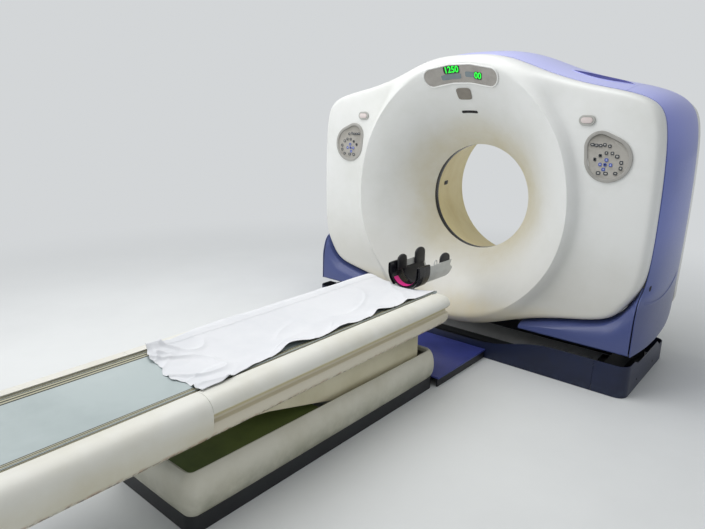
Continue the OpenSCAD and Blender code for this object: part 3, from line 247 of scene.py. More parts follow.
# Cradle: painted carbon-fibre laminate with dark grooves by both edges, and anodised aluminium side rails
cradle_grey = surface(
    "carbon_laminate_painted_grey", "#b7c2c2", "#a8b4b4", (0.3, 0.42),
    grain=2, bump=0.04, cloud=300, coat=0.1)
stripes(cradle_grey, "#1f201d", "#b7b498", pitch=0.0135, wide=0.0060, low=0.1858, high=0.2165)
rail_black = surface(
    "anodised_aluminium_black", "#2a2926", "#1c1b19", (0.35, 0.5), grain=1.2, bump=0.03, metallic=0.6)
stripes(rail_black, "#b5b196", "#2a2926", pitch=0.0064, wide=0.0022, low=0.2, high=0.25)
# Control panels: an ABS frame round a printed membrane, with printed membrane keys
panel_light = surface(
    "moulded_abs_light_grey", "#a8a6a1", "#989690", (0.35, 0.5), grain=1.5, bump=0.03, cloud=80)
panel_dark = surface(
    "printed_membrane_grey", "#98958e", "#86837b", (0.3, 0.42), grain=1.5, bump=0.03, cloud=60)
key_pale = surface("membrane_key_pale", "#b4b3ae", "#a3a29c", (0.3, 0.4), grain=1, bump=0.02, cloud=30)
key_sky = surface("membrane_key_pale_blue", "#a9b0d6", "#979fca", (0.3, 0.4), grain=1, bump=0.02, cloud=30)
key_dark = surface("membrane_key_dark", "#3b3f45", "#2e3238", (0.3, 0.4), grain=1, bump=0.02, cloud=30)
key_blue = surface("membrane_key_blue", "#4d5fae", "#42529c", (0.3, 0.4), grain=1, bump=0.02, cloud=30)
# Stop buttons: ABS that was red and has faded, in ABS rims
stop_pink = surface(
    "moulded_abs_faded_red", "#ddd2cf", "#d3c5c1", (0.3, 0.42), grain=1.5, bump=0.03, cloud=30)
bezel_white = surface("moulded_abs_white", "#b4b4af", "#a8a8a2", (0.3, 0.45), grain=1.5, bump=0.03, cloud=60)
# Display: printed film with tinted acrylic windows and green light-emitting segments
field_taupe = surface(
    "printed_film_taupe", "#a6a29c", "#8f8b85", (0.22, 0.34), grain=1.5, bump=0.02, cloud=70)
digit_backing = surface(
    "tinted_acrylic_dark_green", "#1b2a1e", "#142017", (0.12, 0.2), grain=1, bump=0.01, cloud=30)
window_teal = surface(
    "tinted_acrylic_grey", "#74848a", "#66767c", (0.12, 0.2), grain=1, bump=0.01, cloud=60, coat=0.5)
led_green = surface("lit_segment_green", "#1fdc3c", "#19c434", (0.3, 0.4), grain=1, bump=0.0, cloud=20)
led_shader = led_green.node_tree.nodes["Principled BSDF"]
led_shader.inputs["Emission Color"].default_value = linear("#12ff36")
led_shader.inputs["Emission Strength"].default_value = 0.8
# Positioning light: tinted acrylic. Intercom slot and sensor window: black woven grille cloth; the side slots
# are the same black laid on the cover, as painted shade inside the slot
lens_taupe = surface(
    "tinted_acrylic_taupe", "#7d766b", "#6b655b", (0.1, 0.18), grain=1, bump=0.01, cloud=40, coat=0.6)
slot_black = surface("black_grille_cloth_and_slot_shade", "#1a1a1c", "#101012", (0.5, 0.7), grain=1.5, bump=0.1)
# Head holder: ABS trough, coated foam, a crumpled vinyl cover and a woven strap
holder_grey = surface(
    "moulded_abs_pale_grey", "#cbcdca", "#bcbeb9", (0.3, 0.42), grain=2, bump=0.04, cloud=90, coat=0.1)
foam_black = surface("coated_foam_black", "#1a1a1e", "#242428", (0.45, 0.6), grain=2.5, bump=0.2, cloud=50)
vinyl_black = surface("vinyl_cover_black", "#1b1b22", "#111116", (0.14, 0.26), grain=14, bump=0.6, cloud=60)
strap_rose = surface("woven_strap_rose", "#e0268a", "#b81a6d", (0.35, 0.5), grain=2, bump=0.1, cloud=40)
# Sheet: plain-woven cotton
sheet_cotton = surface(
    "woven_cotton_white", "#e4e5e8", "#dbdde1", (0.8, 0.95), grain=1.4, bump=0.25, cloud=260)
# Inside the gantry and the table: painted frame and structural steel, ground steel shafts and bearings,
# turned aluminium and brass, painted iron castings and moulded rubber
# The frame steel is near black as painted shade for the dark inside of the base; the base covers' screws
# share this dark steel
steel_dark = surface(
    "frame_steel_dark_and_painted_shade", "#14171d", "#0f1217", (0.45, 0.6), grain=2, bump=0.06, cloud=150)
steel_painted = surface(
    "painted_structural_steel", "#8a9095", "#7b8187", (0.4, 0.55), grain=2, bump=0.06, cloud=150)
steel_bare = surface(
    "ground_steel", "#b7bbbf", "#a5a9ad", (0.22, 0.36), grain=0.8, bump=0.02, cloud=60, metallic=1)
aluminium = surface(
    "turned_aluminium", "#c4c7c9", "#b2b5b8", (0.28, 0.42), grain=0.9, bump=0.02, cloud=90, metallic=1)
brass = surface("turned_brass", "#c9a24e", "#b48f40", (0.25, 0.4), grain=0.9, bump=0.02, cloud=60, metallic=1)
cast_dark = surface("painted_cast_iron", "#565c62", "#484e54", (0.5, 0.65), grain=3, bump=0.15, cloud=70)
rubber = surface("moulded_rubber", "#1d1e20", "#292a2c", (0.55, 0.7), grain=1.5, bump=0.08, cloud=60)
for mat, members in (
        (steel_dark, "base_frame pedestals table_base_frame"),
        (steel_painted, "tilt_frame xray_tube high_voltage_tanks leg_arms table_frame"),
        (steel_bare, "trunnion_bearings trunnion_shafts main_bearing collimator level_link"),
        (cast_dark, "tilt_drive drive_motor detector_array counterweights cradle_drive"),
        (aluminium, "motor_pulley rotor_drum heat_exchanger"),
        (brass, "slip_ring"),
        (rubber, "drive_belt slip_ring_brushes"),
        (plinth_black, "table_plinth"),
        (rail_black, "accessory_rails")):
    for node in members.split():
        nodes[node].data.materials.clear()
        nodes[node].data.materials.append(mat)


# Helpers for modelling
def only(piece):
    """Selects one piece and nothing else."""
    bpy.ops.object.select_all(action="DESELECT")
    piece.select_set(True)
    bpy.context.view_layer.objects.active = piece


def modifier(piece, kind, **settings):
    """Adds a modifier to a piece and applies it."""
    only(piece)
    bpy.ops.object.modifier_add(type=kind)
    made = piece.modifiers[-1]
    for key, value in settings.items():
        setattr(made, key, value)
    bpy.ops.object.modifier_apply(modifier=made.name)


def linked(name, data):
    """A new object in the scene, selected."""
    piece = bpy.data.objects.new(name, data)
    bpy.context.scene.collection.objects.link(piece)
    only(piece)
    return piece


def face_outwards(piece):
    only(piece)
    bpy.ops.object.mode_set(mode="EDIT")
    bpy.ops.mesh.select_all(action="SELECT")
    bpy.ops.mesh.normals_make_consistent(inside=False)
    bpy.ops.object.mode_set(mode="OBJECT")


def given(piece, name, mat, body, slot, *stands_for):
    """Names a piece, gives it its material, puts it on its body and hides the nodes that it replaces. The
    slot is not used."""
    piece.name = name
    piece.data.name = name
    if mat is not None:
        piece.data.materials.clear()
        piece.data.materials.append(mat)
    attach(piece, body)
    if stands_for:
        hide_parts(*stands_for)
    return piece


def joined(pieces):
    """Makes one piece of some."""
    bpy.ops.object.select_all(action="DESELECT")
    for piece in pieces:
        piece.select_set(True)
    bpy.context.view_layer.objects.active = pieces[0]
    if len(pieces) > 1:
        bpy.ops.object.join()
    return bpy.context.active_object


def moulded(sources, name, mat, edge=0.0015, levels=2, weld=0.00002):
    """A smooth copy of a CAD node, or of some that read as one moulding: merged, turned back into four-sided
    faces, its edges rounded and its skin subdivided."""
    copies = []
    for node in sources.split():
        only(nodes[node])
        bpy.ops.object.duplicate()
        piece = bpy.context.active_object
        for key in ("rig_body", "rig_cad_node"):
            del piece[key]
        piece.parent = None
        copies.append(piece)
    piece = joined(copies)
    bpy.ops.object.mode_set(mode="EDIT")
    bpy.ops.mesh.select_all(action="SELECT")
    bpy.ops.mesh.remove_doubles(threshold=weld)
    if len(copies) > 1:
        bpy.ops.mesh.select_all(action="DESELECT")
        bpy.ops.mesh.select_mode(type="FACE")
        bpy.ops.mesh.select_interior_faces()
        bpy.ops.mesh.delete(type="FACE")
        bpy.ops.mesh.select_all(action="SELECT")
    bpy.ops.mesh.tris_convert_to_quads(face_threshold=math.radians(60), shape_threshold=math.radians(60))
    bpy.ops.mesh.customdata_custom_splitnormals_clear()
    bpy.ops.object.mode_set(mode="OBJECT")
    modifier(piece, "BEVEL", width=edge, segments=2, limit_method="ANGLE", angle_limit=SMOOTH)
    if levels:
        modifier(piece, "SUBSURF", levels=levels, render_levels=levels)
    bpy.ops.object.shade_smooth_by_angle(angle=SMOOTH)
    first = sources.split()[0]
    return given(piece, name, mat, body_of[first], first, *sources.split())


# Covers and other CAD nodes that only need their skin
moulded("front_cover bore_flare", "front_cover_skin", gantry_white, weld=0.0012)
moulded("rear_cover", "rear_cover_skin", gantry_white)
moulded("top_cover", "top_cover_skin", gantry_lavender)
for side in ("left", "right"):
    moulded("side_cover_" + side, "side_cover_skin_" + side, gantry_lavender)
    moulded("lower_cover_" + side, "lower_cover_skin_" + side, gantry_lavender)
    moulded("base_cover_" + side, "base_cover_panel_" + side, base_navy, levels=0)
    moulded("table_cover_" + side, "table_cover_skin_" + side, table_grooved)
moulded("base_cover_front", "base_cover_panel_front", base_navy, levels=0)
moulded("base_cover_rear", "base_cover_panel_rear", base_navy, levels=0)
moulded("table_front_cover", "table_front_cover_skin", table_grooved)
moulded("table_rear_cover", "table_rear_cover_skin", table_white)
base_skin = moulded("table_base_cover", "table_base_cover_skin", pillow_cream)
base_skin.data.materials.append(deck_olive)
# The sunk deck inside the base cover's rim is painted olive
DECK_LOW, DECK_HALF, DECK_NEAR, DECK_FAR = 0.15, 0.2519, -1.829, -2.507
for face in base_skin.data.polygons:
    spot = face.center
    if spot.z > DECK_LOW and abs(spot.x) < DECK_HALF and DECK_FAR < spot.y < DECK_NEAR:
        face.material_index = 1
moulded("leg_cover", "leg_cover_panel", leg_cream, levels=0)
moulded("scan_window", "scan_window_film", window_black, edge=0.0008, levels=0)
moulded("rear_tunnel", "rear_tunnel_skin", tunnel_beige, levels=0)
moulded("duct_cover", "duct_cover_plate", duct_blue, levels=0)
moulded("cable_duct", "cable_duct_channel", duct_black, levels=0)
moulded("cradle", "cradle_shell", cradle_grey, edge=0.003, levels=0)
moulded("head_holder", "head_holder_shell", holder_grey, levels=0)
moulded("stop_bezels", "stop_button_rims", bezel_white, edge=0.002, levels=0)
# A stop cap's back is drawn forward, so that it clears the cover when the button is pressed in
CAP_BACK, CAP_CLEARANCE = 0.0035, 0.0025
for side in ("left", "right"):
    cap = moulded("stop_button_" + side, "stop_cap_" + side, stop_pink, edge=0.003, levels=0)
    back = max(v.co.y for v in cap.data.vertices)
    for v in cap.data.vertices:
        if v.co.y > back - CAP_BACK:
            v.co.y -= CAP_CLEARANCE


# The flared face: the radii of its throat and crest, how much the crest rises at the top, and its depth
THROAT, CREST, CREST_RISE, CREST_DEPTH = 0.350, 0.735, 0.100, 0.375


def on_flare(radius, turn, lift):
    """A point of the flared face, from its distance from the bore's axis, its angle from the top, and how far
    it stands proud."""
    crest = CREST + CREST_RISE * max(0.0, math.cos(turn)) ** 2
    share = (radius - THROAT) / (crest - THROAT)
    bend = math.pi / 2 * min(share, 1)
    depth = CREST_DEPTH * (share + math.sin(bend)) / 2
    slope = CREST_DEPTH * (1 + math.pi / 2 * math.cos(bend)) / 2 / (crest - THROAT)
    tall = math.hypot(1, slope)
    out = radius - lift * slope / tall
    return Vector((out * math.sin(turn), -depth - lift / tall, BORE_Z + out * math.cos(turn)))


def wrap_on_flare(piece, radius, turn, lift):
    """Lays a flat piece, drawn in X and Y with its thickness in Z, on the flared face."""
    for v in piece.data.vertices:
        v.co = on_flare(radius + v.co.y, turn + v.co.x / radius, lift + v.co.z)


def flat_plate(outline, thick, rounding, sunk=0.0, margin=0.0):
    """A plate in X and Y with rounded edges, and with a sunk field inside a margin if asked. The field has a
    narrow border and the plate's second material."""
    border = 0.0008
    bpy.ops.mesh.primitive_circle_add(vertices=len(outline), radius=1, fill_type="NGON")
    piece = bpy.context.active_object
    for v, (x, y) in zip(piece.data.vertices, outline):
        v.co = (x, y, 0)
    bpy.ops.object.mode_set(mode="EDIT")
    bpy.ops.mesh.select_all(action="SELECT")
    bpy.ops.mesh.normals_make_consistent(inside=False)
    bpy.ops.mesh.extrude_region_move(TRANSFORM_OT_translate={"value": (0, 0, thick)})
    if margin:
        bpy.ops.mesh.inset(thickness=margin)
        bpy.ops.mesh.extrude_region_move(TRANSFORM_OT_translate={"value": (0, 0, -sunk)})
        bpy.ops.mesh.inset(thickness=border)
        piece.data.materials.append(None)
        piece.data.materials.append(None)
        bpy.context.object.active_material_index = 1
        bpy.ops.object.material_slot_assign()
    bpy.ops.object.mode_set(mode="OBJECT")
    face_outwards(piece)
    modifier(piece, "BEVEL", width=rounding, segments=3, limit_method="ANGLE", angle_limit=SMOOTH)
    bpy.ops.object.shade_smooth_by_angle(angle=SMOOTH)
    return piece


def fitted(plate, name, mat, radius, turn, lift, slot, *stands_for):
    """Divides a flat plate finely enough to bend, and lays it on the flared face."""
    modifier(plate, "SUBSURF", subdivision_type="SIMPLE", levels=2, render_levels=2)
    wrap_on_flare(plate, radius, turn, lift)
    given(plate, name, mat, "gantry", slot, *stands_for)


def rounded_outline(width, height, power, count=48):
    """An oblong with soft corners; a higher power has sharper ones."""
    spots = []
    for i in range(count):
        angle = 2 * math.pi * i / count
        x, y = math.cos(angle), math.sin(angle)
        spots.append((math.copysign(abs(x) ** (2 / power), x) * width / 2,
                      math.copysign(abs(y) ** (2 / power), y) * height / 2))
    return spots


def pill_outline(width, height, count=32):
    """A band with round ends."""
    end = height / 2
    spots = []
    for i in range(count):
        angle = 2 * math.pi * (i + 0.5) / count - math.pi / 2
        side = 1 if i < count / 2 else -1
        spots.append((side * (width / 2 - end) + end * math.cos(angle), end * math.sin(angle)))
    return spots


# The display above the bore: its radius, half height, half angle, and the angle of its middle from the top
DISPLAY_R, DISPLAY_TALL = 0.778, 0.050
DISPLAY_TURN, DISPLAY_MIDDLE = math.radians(18.5), math.radians(0.5)
DISPLAY_HALF = DISPLAY_TURN * DISPLAY_R


def display_field():
    """A thin band with round ends, bent over the flared face."""
    bpy.ops.mesh.primitive_grid_add(x_subdivisions=64, y_subdivisions=10, size=2)
    field = bpy.context.active_object
    end = DISPLAY_TALL / DISPLAY_HALF
    for v in field.data.vertices:
        along, over = v.co.x, v.co.y
        tail = max(0.0, (abs(along) - 1 + end) / end)
        v.co = (along * DISPLAY_HALF, over * DISPLAY_TALL * math.sqrt(max(0.0, 1 - tail * tail)), 0)
    modifier(field, "SOLIDIFY", thickness=0.002, offset=1)
    wrap_on_flare(field, DISPLAY_R, DISPLAY_MIDDLE, 0.0012)
    bpy.ops.object.shade_smooth_by_angle(angle=SMOOTH)
    given(field, "display_field", field_taupe, "gantry", "gantry_display", "gantry_display")


def display_rim():
    """A round bead along the field's edge."""
    margin, between = 0.003, 3
    spots = pill_outline(2 * (DISPLAY_HALF + margin), 2 * (DISPLAY_TALL + margin), 96)
    dense = []
    for (x0, y0), (x1, y1) in zip(spots, spots[1:] + spots[:1]):
        dense += [(x0 + (x1 - x0) * k / between, y0 + (y1 - y0) * k / between) for k in range(between)]
    line = bpy.data.curves.new("display_rim", "CURVE")
    line.dimensions = "3D"
    loop = line.splines.new("POLY")
    loop.points.add(len(dense) - 1)
    loop.use_cyclic_u = True
    for point, (x, y) in zip(loop.points, dense):
        point.co = (*on_flare(DISPLAY_R + y, DISPLAY_MIDDLE + x / DISPLAY_R, 0.002), 1)
    line.bevel_depth = 0.0052
    line.bevel_resolution = 4
    linked("display_rim", line)
    bpy.ops.object.convert(target="MESH")
    rim = bpy.context.active_object
    bpy.ops.object.shade_smooth()
    given(rim, "display_rim", gantry_white, "gantry", "front_cover")


def display_window(side, wide, degrees, height):
    """A tinted window, at an angle from the top and above or below the display's middle line."""
    window = flat_plate(rounded_outline(wide, 0.030, 6), thick=0.0012, rounding=0.0004)
    fitted(window, "display_window_" + side, window_teal,
           DISPLAY_R + height, math.radians(degrees), 0.0032, "gantry_display")


def display_digits(side, words, tall, degrees, height):
    """Lit digits on a dark backing, placed as a window is. A digit is a fixed share of its height wide."""
    step = 0.26 * tall / 0.36
    radius, turn = DISPLAY_R + height, math.radians(degrees)
    backing = flat_plate(rounded_outline(step * len(words), tall * 1.12, 6), thick=0.0010, rounding=0.0003)
    fitted(backing, "display_backing_" + side, digit_backing, radius, turn, 0.0046, "gantry_display")
    bpy.ops.object.text_add()
    text = bpy.context.active_object.data
    text.body = words
    text.size = tall * 1.3
    text.offset = 0.0009
    text.align_x = "CENTER"
    text.align_y = "CENTER"
    text.extrude = 0.0003
    bpy.ops.object.convert(target="MESH")
    digits = bpy.context.active_object
    wrap_on_flare(digits, radius, turn, 0.0062)
    given(digits, "display_digits_" + side, led_green, "gantry", "gantry_display")


display_field()
display_rim()
display_window("left", wide=0.136, degrees=-4.4, height=-0.014)
display_window("right", wide=0.062, degrees=5.2, height=-0.004)
display_digits("left", "1250", tall=0.038, degrees=-3.6, height=0.024)
display_digits("right", "00", tall=0.036, degrees=9.3, height=-0.006)

# The positioning light and the intercom's slot, under the display: their radii on the flared face
LIGHT_R, SLOT_R = 0.663, 0.557
light = flat_plate(rounded_outline(0.098, 0.066, 5), thick=0.0028, rounding=0.0012)
fitted(light, "positioning_light_window", lens_taupe,
       LIGHT_R, 0.0, 0.0012, "positioning_light_lens", "positioning_light_lens")
slot = flat_plate(pill_outline(0.112, 0.015), thick=0.0016, rounding=0.0006)
fitted(slot, "intercom_mesh", slot_black, SLOT_R, 0.0, 0.0008, "intercom_grille", "intercom_grille")

# Control panels: an egg round a large circle and a small one at its tip
PANEL_R, TIP, TIP_R = 0.122, (-0.046, 0.063), 0.083
PANEL_X, PANEL_Z = 0.90, BORE_Z + 0.322
# Keys: their place from the panel's middle, width and height, in millimetres, drawn larger by one scale
DARK_KEYS = (
    (-88, 73, 17, 12), (-67, 71, 17, 12), (-45, 70, 15, 12), (-24, 75, 14, 13), (2, 69, 14, 13),
    (-67, -3, 12, 14), (-41, 18, 13, 13), (-11, 33, 14, 13), (19, 33, 14, 13), (45, 18, 17, 15),
    (69, -13, 15, 15), (69, -42, 15, 15), (46, -70, 16, 13), (-3, -74, 18, 14), (-41, -74, 18, 15))
BLUE_KEYS = ((-7, -3, 15, 14), (-37, -28, 14, 14), (-11, -28, 13, 13), (17, -28, 14, 14), (-17, -53, 15, 14))
KEY_SCALE = 1.3


def egg_outline(count=96):
    """Round the large and the small circle, anticlockwise."""
    spread = math.acos((PANEL_R - TIP_R) / math.hypot(*TIP))
    way = math.atan2(TIP[1], TIP[0])
    open_turn = 2 * math.pi - 2 * spread
    large = int(count * open_turn / (2 * math.pi))
    small = count - large
    spots = []
    for k in range(large):
        angle = way + spread + open_turn * k / (large - 1)
        spots.append((PANEL_R * math.cos(angle), PANEL_R * math.sin(angle)))
    for k in range(small):
        angle = way - spread + 2 * spread * k / (small - 1)
        spots.append((TIP[0] + TIP_R * math.cos(angle), TIP[1] + TIP_R * math.sin(angle)))
    return spots


def stand_on_wing(piece, x, z, side, lift):
    """Stands a flat piece up on the front cover's wing; the left one is the right one's mirror image."""
    for v in piece.data.vertices:
        v.co = (side * (x + v.co.x), WING_Y - lift - v.co.z, z + v.co.y)
    face_outwards(piece)


def control_panel(side, word):
    """One panel; side is 1 for the right one and -1 for the left one."""
    node = "control_panel_" + word
    rim = flat_plate(egg_outline(), thick=0.008, rounding=0.003, sunk=0.0045, margin=0.017)
    stand_on_wing(rim, PANEL_X, PANEL_Z, side, lift=0.0003)
    given(rim, "control_panel_frame_" + word, None, "gantry", node, node)
    rim.data.materials[0] = panel_light
    rim.data.materials[1] = panel_dark
    for tone, spots, mat, middle in (
            ("dark", DARK_KEYS, key_dark, key_pale),
            ("blue", BLUE_KEYS, key_blue, key_sky)):
        keys = []
        for x, y, wide, tall in spots:
            outline = rounded_outline(KEY_SCALE * wide * MM, KEY_SCALE * tall * MM, 3.2, 20)
            key = flat_plate(outline, thick=0.0014, rounding=0.0004, sunk=0.0003, margin=0.0046)
            key.data.materials[0] = mat
            key.data.materials[1] = middle
            stand_on_wing(key, PANEL_X + x * MM, PANEL_Z + y * MM, side, lift=0.0040)
            keys.append(key)
        given(joined(keys), "panel_keys_" + tone + "_" + word, None, "gantry", node)


control_panel(1, "right")
control_panel(-1, "left")

# Thin pieces start clear of the covers, above them or beside them, and are then laid on the skin
START_ABOVE, START_BESIDE = 2.1, 1.5


def wrapped(cover, skin, name, mat, shape, side, from_above, lift, thick, cells=(48, 8), crown=0.0):
    """A thin piece drawn over a cover by shape(along, over), each from -1 to 1, then laid on its skin from
    above or from the side, and raised by lift, with a crown along its middle if asked."""
    bpy.ops.mesh.primitive_grid_add(x_subdivisions=cells[0], y_subdivisions=cells[1], size=2)
    piece = bpy.context.active_object
    marks = [(v.co.x, v.co.y) for v in piece.data.vertices]
    for v, mark in zip(piece.data.vertices, marks):
        first, second = shape(*mark)
        v.co = (side * first, second, START_ABOVE) if from_above else (side * START_BESIDE, first, second)
    modifier(piece, "SHRINKWRAP", target=bpy.data.objects[skin], wrap_method="PROJECT",
             use_project_x=not from_above, use_project_z=from_above,
             use_negative_direction=from_above or side > 0,
             use_positive_direction=not from_above and side < 0, project_limit=0.8)
    if side < 0:
        bpy.ops.object.mode_set(mode="EDIT")
        bpy.ops.mesh.select_all(action="SELECT")
        bpy.ops.mesh.flip_normals()
        bpy.ops.object.mode_set(mode="OBJECT")
    for v, (along, over) in zip(piece.data.vertices, marks):
        rise = lift + crown * (1 - over * over) * (1 - along ** 8)
        v.co += Vector((0, 0, rise)) if from_above else Vector((side * rise, 0, 0))
    modifier(piece, "SOLIDIFY", thickness=thick, offset=-1)
    bpy.ops.object.shade_smooth_by_angle(angle=SMOOTH)
    given(piece, name, mat, "gantry", cover)


# The air vents' lens shape: its middle, half length, and reach to the back and to the front
VENT_X, VENT_Y, VENT_HALF, VENT_BACK, VENT_FRONT = 0.735, -0.036, 0.167, 0.130, 0.034
SLATS = 6


def vent_shape(grow, low=-1.0, high=1.0):
    """The vent's lens grown by a margin, or the strip of it from low to high."""
    def shape(along, over):
        part = low + (high - low) * (over + 1) / 2
        reach = (VENT_BACK if part > 0 else VENT_FRONT) + grow
        return VENT_X + along * (VENT_HALF + grow), VENT_Y + part * reach * (1 - along * along)
    return shape


def side_ledge(along, over):
    """The shallow curved ledge across a side cover."""
    y = 0.025 + 0.275 * along
    return y, 0.522 + 0.58 * (y + 0.10) ** 2 + 0.009 * over


def side_slot(along, over):
    """The small sloping slot above the ledge."""
    out, up = 0.019 * along, 0.0065 * over * math.sqrt(max(0.0, 1 - along * along))
    return -0.179 + 0.72 * out - 0.69 * up, 0.606 + 0.69 * out + 0.72 * up


for side, word in ((1, "right"), (-1, "left")):
    wrapped("top_cover", "top_cover_skin", "top_vent_rim_" + word, gantry_lavender, vent_shape(0.009),
            side, from_above=True, lift=0.0030, thick=0.004)
    # The well under the slats is painted dark as shade in the recess
    wrapped("top_cover", "top_cover_skin", "top_vent_field_" + word, vent_well_shade, vent_shape(0.0),
            side, from_above=True, lift=0.0034, thick=0.0016)
    for k in range(SLATS):
        slat = vent_shape(-0.004, -0.70 + 0.28 * k, -0.66 + 0.28 * k)
        wrapped("top_cover", "top_cover_skin", f"top_vent_slat_{word}_{k + 1}", vent_slat, slat,
                side, from_above=True, lift=0.0048, thick=0.0013, cells=(32, 2))
    cover, skin = "side_cover_" + word, "side_cover_skin_" + word
    wrapped(cover, skin, "side_ledge_" + word, gantry_lavender, side_ledge,
            side, from_above=False, lift=0.0004, thick=0.003, cells=(60, 8), crown=0.0035)
    # The side slot is a black piece on the cover: painted shade inside the slot
    wrapped(cover, skin, "side_slot_" + word, slot_black, side_slot,
            side, from_above=False, lift=0.0006, thick=0.002, cells=(20, 6))

# The rear tunnel widens from its front end to its rear end; each is a place along Y and a radius
TUNNEL_FRONT, TUNNEL_REAR = (0.044, 0.350), (0.606, 0.490)


def tunnel_window(middle_y, middle_z):
    """A small dark sensor window low in the tunnel's left wall."""
    slope = (TUNNEL_REAR[1] - TUNNEL_FRONT[1]) / (TUNNEL_REAR[0] - TUNNEL_FRONT[0])
    pane = flat_plate(rounded_outline(0.078, 0.030, 5), thick=0.002, rounding=0.0006)
    for v in pane.data.vertices:
        y, z, thick = middle_y + v.co.x, middle_z + v.co.y, v.co.z
        wall = TUNNEL_FRONT[1] + (y - TUNNEL_FRONT[0]) * slope
        v.co = (-math.sqrt(wall * wall - (z - BORE_Z) ** 2) + 0.0006 + thick, y, z)
    given(pane, "tunnel_sensor_window", slot_black, "gantry", "rear_tunnel")


tunnel_window(middle_y=0.198, middle_z=1.015)


def base_screws(which, places, facing):
    """The flat round screw heads of one of the gantry's base covers, and the way they face."""
    turn = Vector((0, 0, 1)).rotation_difference(Vector(facing)).to_matrix()
    heads = []
    for place in places:
        bpy.ops.mesh.primitive_cylinder_add(vertices=24, radius=0.006, depth=0.0022)
        head = bpy.context.active_object
        for v in head.data.vertices:
            v.co = turn @ v.co + Vector(place)
        modifier(head, "BEVEL", width=0.0006, segments=2, limit_method="ANGLE")
        heads.append(head)
    piece = joined(heads)
    bpy.ops.object.shade_smooth_by_angle(angle=SMOOTH)
    given(piece, "base_screws_" + which, steel_dark, "base", "base_cover_" + which)


# The faces that the screws sit on, and the screws' height
SIDE_FACE_X, REAR_FACE_Y, SCREW_Z = 1.1606, 0.4506, 0.053
base_screws("right", [(SIDE_FACE_X, y, SCREW_Z) for y in (-0.145, 0.19)], (1, 0, 0))
base_screws("left", [(-SIDE_FACE_X, y, SCREW_Z) for y in (-0.145, 0.19)], (-1, 0, 0))
base_screws("rear", [(x, REAR_FACE_Y, SCREW_Z) for x in (-0.86, -0.3, 0.3, 0.86)], (0, 1, 0))

# Head holder: the height of its trough's axis, the radii of the strap, the lining and the cover's outside,
# the foot of the foam flaps, and the middle of the strap's ring
TROUGH_Z, STRAP_R, LINING_R, COVER_R = 0.612, 0.0835, 0.0915, 0.1095
FLAP_Z, STRAP_RING = 0.600, (0.1012, -0.672, 0.652)


def swept(path, half, start, end, steps=16, puff=0.0, waves=0.0):
    """A band of even thickness: a path drawn in X and Z, thickened by half to each side, and carried along Y
    from start to end. It can puff up in the middle and have waves."""
    count = len(path)
    points = []
    for step in range(steps + 1):
        share = step / steps
        y = start + (end - start) * share
        at_end = min(share, 1 - share) * steps < 0.5
        swell = puff * math.sin(math.pi * share) ** 0.5 + waves * noise.noise(Vector((y * 40, 1.3, 0)))
        thin = half * (0.45 if at_end else 1.0) + swell
        outer, inner = [], []
        for i, (x, z) in enumerate(path):
            before, after = path[max(i - 1, 0)], path[min(i + 1, count - 1)]
            run, climb = after[0] - before[0], after[1] - before[1]
            long = math.hypot(run, climb)
            wide = thin * (0.5 if i in (0, count - 1) else 1.0)
            aside, up = climb / long * wide, -run / long * wide
            outer.append((x + aside, y, z + up))
            inner.append((x - aside, y, z - up))
        points += outer + inner[::-1]
    ring = 2 * count
    faces = []
    for step in range(steps):
        here, there = step * ring, (step + 1) * ring
        faces += [(here + i, here + (i + 1) % ring, there + (i + 1) % ring, there + i) for i in range(ring)]
    for base, flip in ((0, False), (steps * ring, True)):
        for i in range(count - 1):
            face = (base + i, base + ring - 1 - i, base + ring - 2 - i, base + i + 1)
            faces.append(face[::-1] if flip else face)
    mesh = bpy.data.meshes.new("band")
    mesh.from_pydata(points, [], faces)
    piece = linked("band", mesh)
    face_outwards(piece)
    modifier(piece, "SUBSURF", levels=1, render_levels=1)
    bpy.ops.object.shade_smooth()
    return piece


def arc(radius, start, stop, count=24):
    """Points on a circle round the trough's axis; angles in degrees, 0 to the right and -90 at the bottom."""
    spots = []
    for k in range(count + 1):
        angle = math.radians(start + (stop - start) * k / count)
        spots.append((radius * math.cos(angle), TROUGH_Z + radius * math.sin(angle)))
    return spots


def foam_flap(name, x, y, tall, half):
    """An upright foam pad with an arched top, standing in the trough."""
    arch, steps = 0.7 * half, 16
    outline = [(-half, 0.0), (half, 0.0)]
    for k in range(steps + 1):
        angle = math.pi * k / steps
        outline.append((half * math.cos(angle), tall - arch + arch * math.sin(angle)))
    flap = flat_plate(outline, thick=0.0155, rounding=0.0045)
    for v in flap.data.vertices:
        v.co = (x + v.co.z, y + v.co.x, FLAP_Z + v.co.y)
    given(flap, "head_rest_flap_" + name, foam_black, "cradle", "head_holder_pads")


